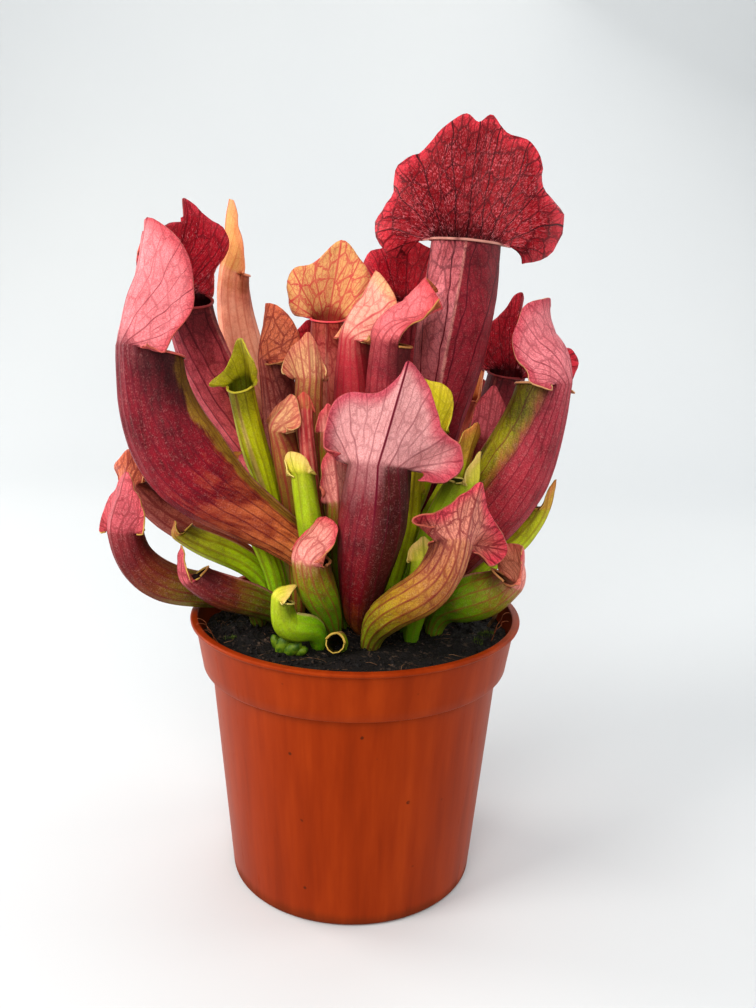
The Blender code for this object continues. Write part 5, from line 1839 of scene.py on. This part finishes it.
def on_peat(work, name, first, second, rough=0.6):
    """What lies or stands on the peat, with its normals outwards and a finish of two colours."""
    bmesh.ops.recalc_face_normals(work, faces=work.faces)
    piece = finished(work, name, [thread_finish(name.replace("_", " "), first, second, rough)])
    print(name, "faces:", len(piece.data.polygons))


# %% [markdown]
# A fibre wanders over the soil. It starts anywhere inside the pot, takes up to eight steps of about a
# millimetre and turns a bit at each, and its height is read from the soil's surface, so that it lies
# on it and doesn't float. Some arch up in their middle.

# %% Fibres in the peat
FIBRES = 90
FIBRE_STEP = 1.1
INSIDE_RIM = pot_radius(SOIL_EDGE, outer=False) - 2.0
chance = random.Random(12)
work = bmesh.new()
for _ in range(FIBRES):
    distance = INSIDE_RIM * math.sqrt(chance.random())
    turn = chance.uniform(0, 2 * math.pi)
    x, y = distance * math.cos(turn), distance * math.sin(turn)
    heading = chance.uniform(0, 2 * math.pi)
    bend = chance.uniform(-0.35, 0.35)
    lift = chance.choice((0.05, 0.1, 0.5))
    places = []
    steps = chance.randrange(4, 9)
    for step in range(steps):
        if math.hypot(x, y) > INSIDE_RIM:
            break
        arch = lift * math.sin(math.pi * step / (steps - 1))
        places.append(Vector((x, y, crumbled(x, y) + 0.12 + arch)))
        heading += bend + chance.uniform(-0.3, 0.3)
        x += FIBRE_STEP * math.cos(heading)
        y += FIBRE_STEP * math.sin(heading)
    if len(places) > 2:
        thread(work, places, chance.uniform(0.07, 0.14))
on_peat(work, "soil_fibres", (66, 44, 30), (138, 100, 70))

# %% [markdown]
# The fine roots are few and lie where they are seen against the rim, so each has its own start,
# highest place and end. Between them it follows a simple curve with a little sway.

# %% Fine roots at the left and the right of the rim
ROOTS = [
    # start on the soil, its highest place, how high that is over the rim, end on the rim
    ((-36.5, -12.5), (-38.8, -14.2), 3.2, (-41.5, -15.0)),
    ((-35.0, -15.5), (-37.5, -17.5), 2.2, (-39.2, -19.5)),
    ((-37.5, -9.0), (-40.2, -10.0), 2.4, (-42.0, -10.8)),
    ((37.8, -4.5), (40.2, -3.6), 3.6, (42.3, -2.6)),
    ((38.4, -1.0), (40.8, -1.8), 3.0, (42.6, -3.2)),
    ((36.8, -7.5), (39.0, -8.4), 2.6, (41.0, -9.2)),
]
ROOT_STEPS = 12
work = bmesh.new()
for start, middle, rise, end in ROOTS:
    low = Vector((*start, crumbled(*start) - 0.3))
    top = Vector((*middle, POT_HEIGHT + rise - 1.4))
    far = Vector((*end, POT_HEIGHT + 0.5))
    places = []
    for step in range(ROOT_STEPS + 1):
        share = step / ROOT_STEPS
        place = low * (1 - share) ** 2 + top * 2 * share * (1 - share) + far * share**2
        sway = Vector((noise.noise(place * 0.5), noise.noise(place * 0.5 + Vector((9, 0, 0))), 0))
        places.append(place + sway * 0.7 * math.sin(math.pi * share))
    thread(work, places, 0.13, taper=0.5)
on_peat(work, "fine_roots", (112, 52, 30), (170, 104, 64))

# %% [markdown]
# The stump of a dried stalk leans out of the peat at the right, with one short twig. It is a thicker
# thread with ten sides, because it is seen in outline.

# %% The dried stalk
STALK_FOOT = (37.2, 1.5, 70.6)
STALK_LEAN = Vector((3.4, -3.0, 10.5))
STALK_SHARES = (0.0, 0.15, 0.3, 0.45, 0.6, 0.75, 0.88, 1.0)
work = bmesh.new()
stalk = []
for share in STALK_SHARES:
    sway = Vector((0.5 * math.sin(5 * share), 0.3 * math.cos(7 * share), 0))
    stalk.append(Vector(STALK_FOOT) + STALK_LEAN * share + sway)
thread(work, stalk, 0.5, sides=10, taper=0.55)
fork = stalk[4]
thread(work, [fork, fork + Vector((1.2, -0.6, 1.4)), fork + Vector((1.6, -1.0, 3.2))], 0.22)
on_peat(work, "dried_stalk", (96, 66, 40), (176, 134, 92))

# %% [markdown]
# Moss grows in small cushions. A bump in the soil's material would be flat in outline, so each cushion
# is a few dozen short threads of three places, with their feet in a circle and leaning any way.

# %% Moss on the peat
CUSHIONS = [
    # across, back, reach and number of shoots
    (36.0, -3.5, 2.4, 70),
    (33.0, -9.0, 1.6, 34),
    (-33.5, -8.0, 1.8, 30),
    (-30.0, 14.0, 2.2, 36),
    (26.0, 22.0, 2.4, 36),
]
chance = random.Random(7)
work = bmesh.new()
for x, y, reach, shoots in CUSHIONS:
    for _ in range(shoots):
        turn = chance.uniform(0, 2 * math.pi)
        distance = reach * math.sqrt(chance.random())
        foot_x, foot_y = x + distance * math.cos(turn), y + distance * math.sin(turn)
        foot = Vector((foot_x, foot_y, crumbled(foot_x, foot_y) - 0.1))
        lean = Vector((chance.uniform(-0.6, 0.6), chance.uniform(-0.6, 0.6), 1)).normalized()
        tall = chance.uniform(0.5, 1.3)
        aside = Vector((chance.uniform(-0.2, 0.2), chance.uniform(-0.2, 0.2), 0))
        places = [foot, foot + lean * tall * 0.6 + aside, foot + lean * tall]
        thread(work, places, chance.uniform(0.1, 0.2), sides=5, taper=0.8)
on_peat(work, "moss", (44, 62, 14), (92, 106, 32))

# %% [markdown]
# Four green buds sit at the foot of the curled young pitcher. They are leaves that are still closed:
# short egg shapes, drawn out of icospheres, leaning apart and sunk into the peat.

# %% Buds at the foot of the curled leaf
BUDS = [
    # across, back, radius, lean in degrees and how long it is for its width
    (-18.6, -18.6, 2.2, 20, 1.6),
    (-16.0, -20.0, 2.0, 50, 1.4),
    (-20.4, -16.0, 1.6, -25, 1.8),
    (-13.9, -20.0, 1.5, 70, 1.3),
]
work = bmesh.new()
for x, y, size, lean, stretch in BUDS:
    turn = Matrix.Rotation(math.radians(lean), 4, "Y") @ Matrix.Diagonal((0.85, 0.85, stretch, 1))
    place = Matrix.Translation((x, y, crumbled(x, y) + 0.6 * size)) @ turn
    bmesh.ops.create_icosphere(work, subdivisions=3, radius=size, matrix=place)
for point in work.verts:
    point.co += point.co.normalized() * 0.12 * noise.noise(point.co * 0.9)
on_peat(work, "buds", (56, 92, 8), (118, 142, 22), 0.4)

# %% [markdown]
# ## Floor, light and camera
#
# The object stands on a plain pale floor that curves up behind it, so that no horizon shows. A plane
# with a wall behind it would show the line between them. The floor is one grid instead, and its far
# rows are laid on a quarter of a circle and then straight up.

# %% Floor and backdrop
FLOOR_HALF = 1500
FLOOR_WIDENED = 1.6
BEND_START = 500
BEND_RADIUS = 450


def backdrop_finish():
    finish = Finish("backdrop", {})
    cloud = finish.clouds(finish.place(), 3.0, 2)
    tint = finish.blend(cloud, light_of(210, 212, 213), light_of(218, 219, 218))
    finish.surface(Base_Color=tint, Roughness=0.7 + 0.1 * cloud)
    return finish.material


def make_backdrop():
    work = bmesh.new()
    bmesh.ops.create_grid(work, x_segments=8, y_segments=64, size=FLOOR_HALF)
    for point in work.verts:
        depth = point.co.y - BEND_START
        if depth > 0:
            turn = min(math.pi / 2, depth / BEND_RADIUS)
            over = max(0.0, depth - BEND_RADIUS * math.pi / 2)
            point.co.y = BEND_START + BEND_RADIUS * math.sin(turn)
            point.co.z = BEND_RADIUS * (1 - math.cos(turn)) + over
        point.co.x *= FLOOR_WIDENED
    bmesh.ops.recalc_face_normals(work, faces=work.faces)
    bmesh.ops.scale(work, vec=(MM, MM, MM), verts=work.verts)
    mesh = bpy.data.meshes.new("floor")
    for face in work.faces:
        face.smooth = True
    work.to_mesh(mesh)
    work.free()
    mesh.materials.append(backdrop_finish())
    floor = bpy.data.objects.new("floor", mesh)
    bpy.context.scene.collection.objects.link(floor)


make_backdrop()
print("floor:", round(2 * FLOOR_HALF * FLOOR_WIDENED), "mm wide")


# %% [markdown]
# Five soft lights stand around the plant: the main one at the upper left in front, one in front for
# the deep tubes, one at each side for the edges, and one behind. A pale sky fills the rest. More
# lights would flatten the forms, and fewer leave the tubes in the middle black. The view's gamma is a
# little under one, which gives the strong contrast of a picture in daylight.

# %% Lights and the colour of the surroundings
def add_light(name, place, aim, size, watts, colour):
    data = bpy.data.lights.new(name, "AREA")
    data.shape = "RECTANGLE"
    data.size, data.size_y = size
    data.energy = watts
    data.color = colour
    lamp = bpy.data.objects.new(name, data)
    lamp.location = place
    lamp.rotation_mode = "QUATERNION"
    lamp.rotation_quaternion = (Vector(aim) - Vector(place)).to_track_quat("-Z", "Y")
    bpy.context.scene.collection.objects.link(lamp)


LIGHTS = {
    # place and aim in metres, width and height in metres, watts, colour
    "key": ((-0.74, -0.42, 0.74), (0, 0, 0.1), (0.4, 0.4), 5.6, (1.0, 0.98, 0.95)),
    "front": ((-0.1, -0.85, 0.66), (0, 0, 0.12), (0.7, 0.5), 5.6, (1.0, 0.99, 0.97)),
    "left": ((-0.78, 0.3, 0.34), (0, 0, 0.12), (0.4, 0.5), 3.6, (1.0, 0.97, 0.93)),
    "right": ((0.85, 0.1, 0.3), (0, 0, 0.08), (0.4, 0.5), 2.0, (1.0, 0.97, 0.93)),
    "back": ((0.3, 0.75, 0.7), (0, 0, 0.15), (0.8, 0.5), 2.0, (1.0, 1.0, 1.0)),
}
for name, values in LIGHTS.items():
    add_light(name, *values)
print("lights:", ", ".join(LIGHTS))

world = bpy.data.worlds.new("surroundings")
world.use_nodes = True
sky = world.node_tree.nodes["Background"]
sky.inputs["Color"].default_value = light_of(232, 238, 244)
sky.inputs["Strength"].default_value = 0.6
bpy.context.scene.world = world
view = bpy.context.scene.view_settings
view.view_transform = "Standard"
view.gamma = 0.86
view.exposure = 0.12

# %% [markdown]
# The camera stands a little above the pot's rim. How flat the ellipses of the rim and the foot look
# gives the angle that it looks down at, and how fast the pot narrows gives its distance. Its frame is
# built from the direction ahead, because three angles in one rotation are easy to confuse.

# %% Camera
CAMERA_PLACE = (0.0, -0.2618, 0.1695)
PITCH = 13.70
YAW = 1.20
ROLL = 1.35
FOCAL_PIXELS = 1000
PICTURE_HEIGHT = 1008
SENSOR_HEIGHT = 36.0
SENSOR_WIDTH = 27.0


def add_camera():
    pitch, yaw, roll = [math.radians(angle) for angle in (PITCH, YAW, ROLL)]
    ahead = Vector((math.sin(yaw) * math.cos(pitch), math.cos(yaw) * math.cos(pitch), -math.sin(pitch)))
    right = Vector((math.cos(yaw), -math.sin(yaw), 0.0))
    up = right.cross(ahead)
    across = right * math.cos(roll) + up * math.sin(roll)
    upright = up * math.cos(roll) - right * math.sin(roll)
    data = bpy.data.cameras.new("camera")
    data.sensor_fit = "VERTICAL"
    data.sensor_height = SENSOR_HEIGHT
    data.sensor_width = SENSOR_WIDTH
    data.lens = FOCAL_PIXELS / PICTURE_HEIGHT * SENSOR_HEIGHT
    data.clip_start = 0.01
    camera = bpy.data.objects.new("camera", data)
    turn = Matrix((across, upright, -ahead)).transposed()
    camera.matrix_world = Matrix.Translation(CAMERA_PLACE) @ turn.to_4x4()
    bpy.context.scene.collection.objects.link(camera)
    bpy.context.scene.camera = camera


add_camera()
print("camera:", CAMERA_PLACE, "looking down", PITCH, "degrees")
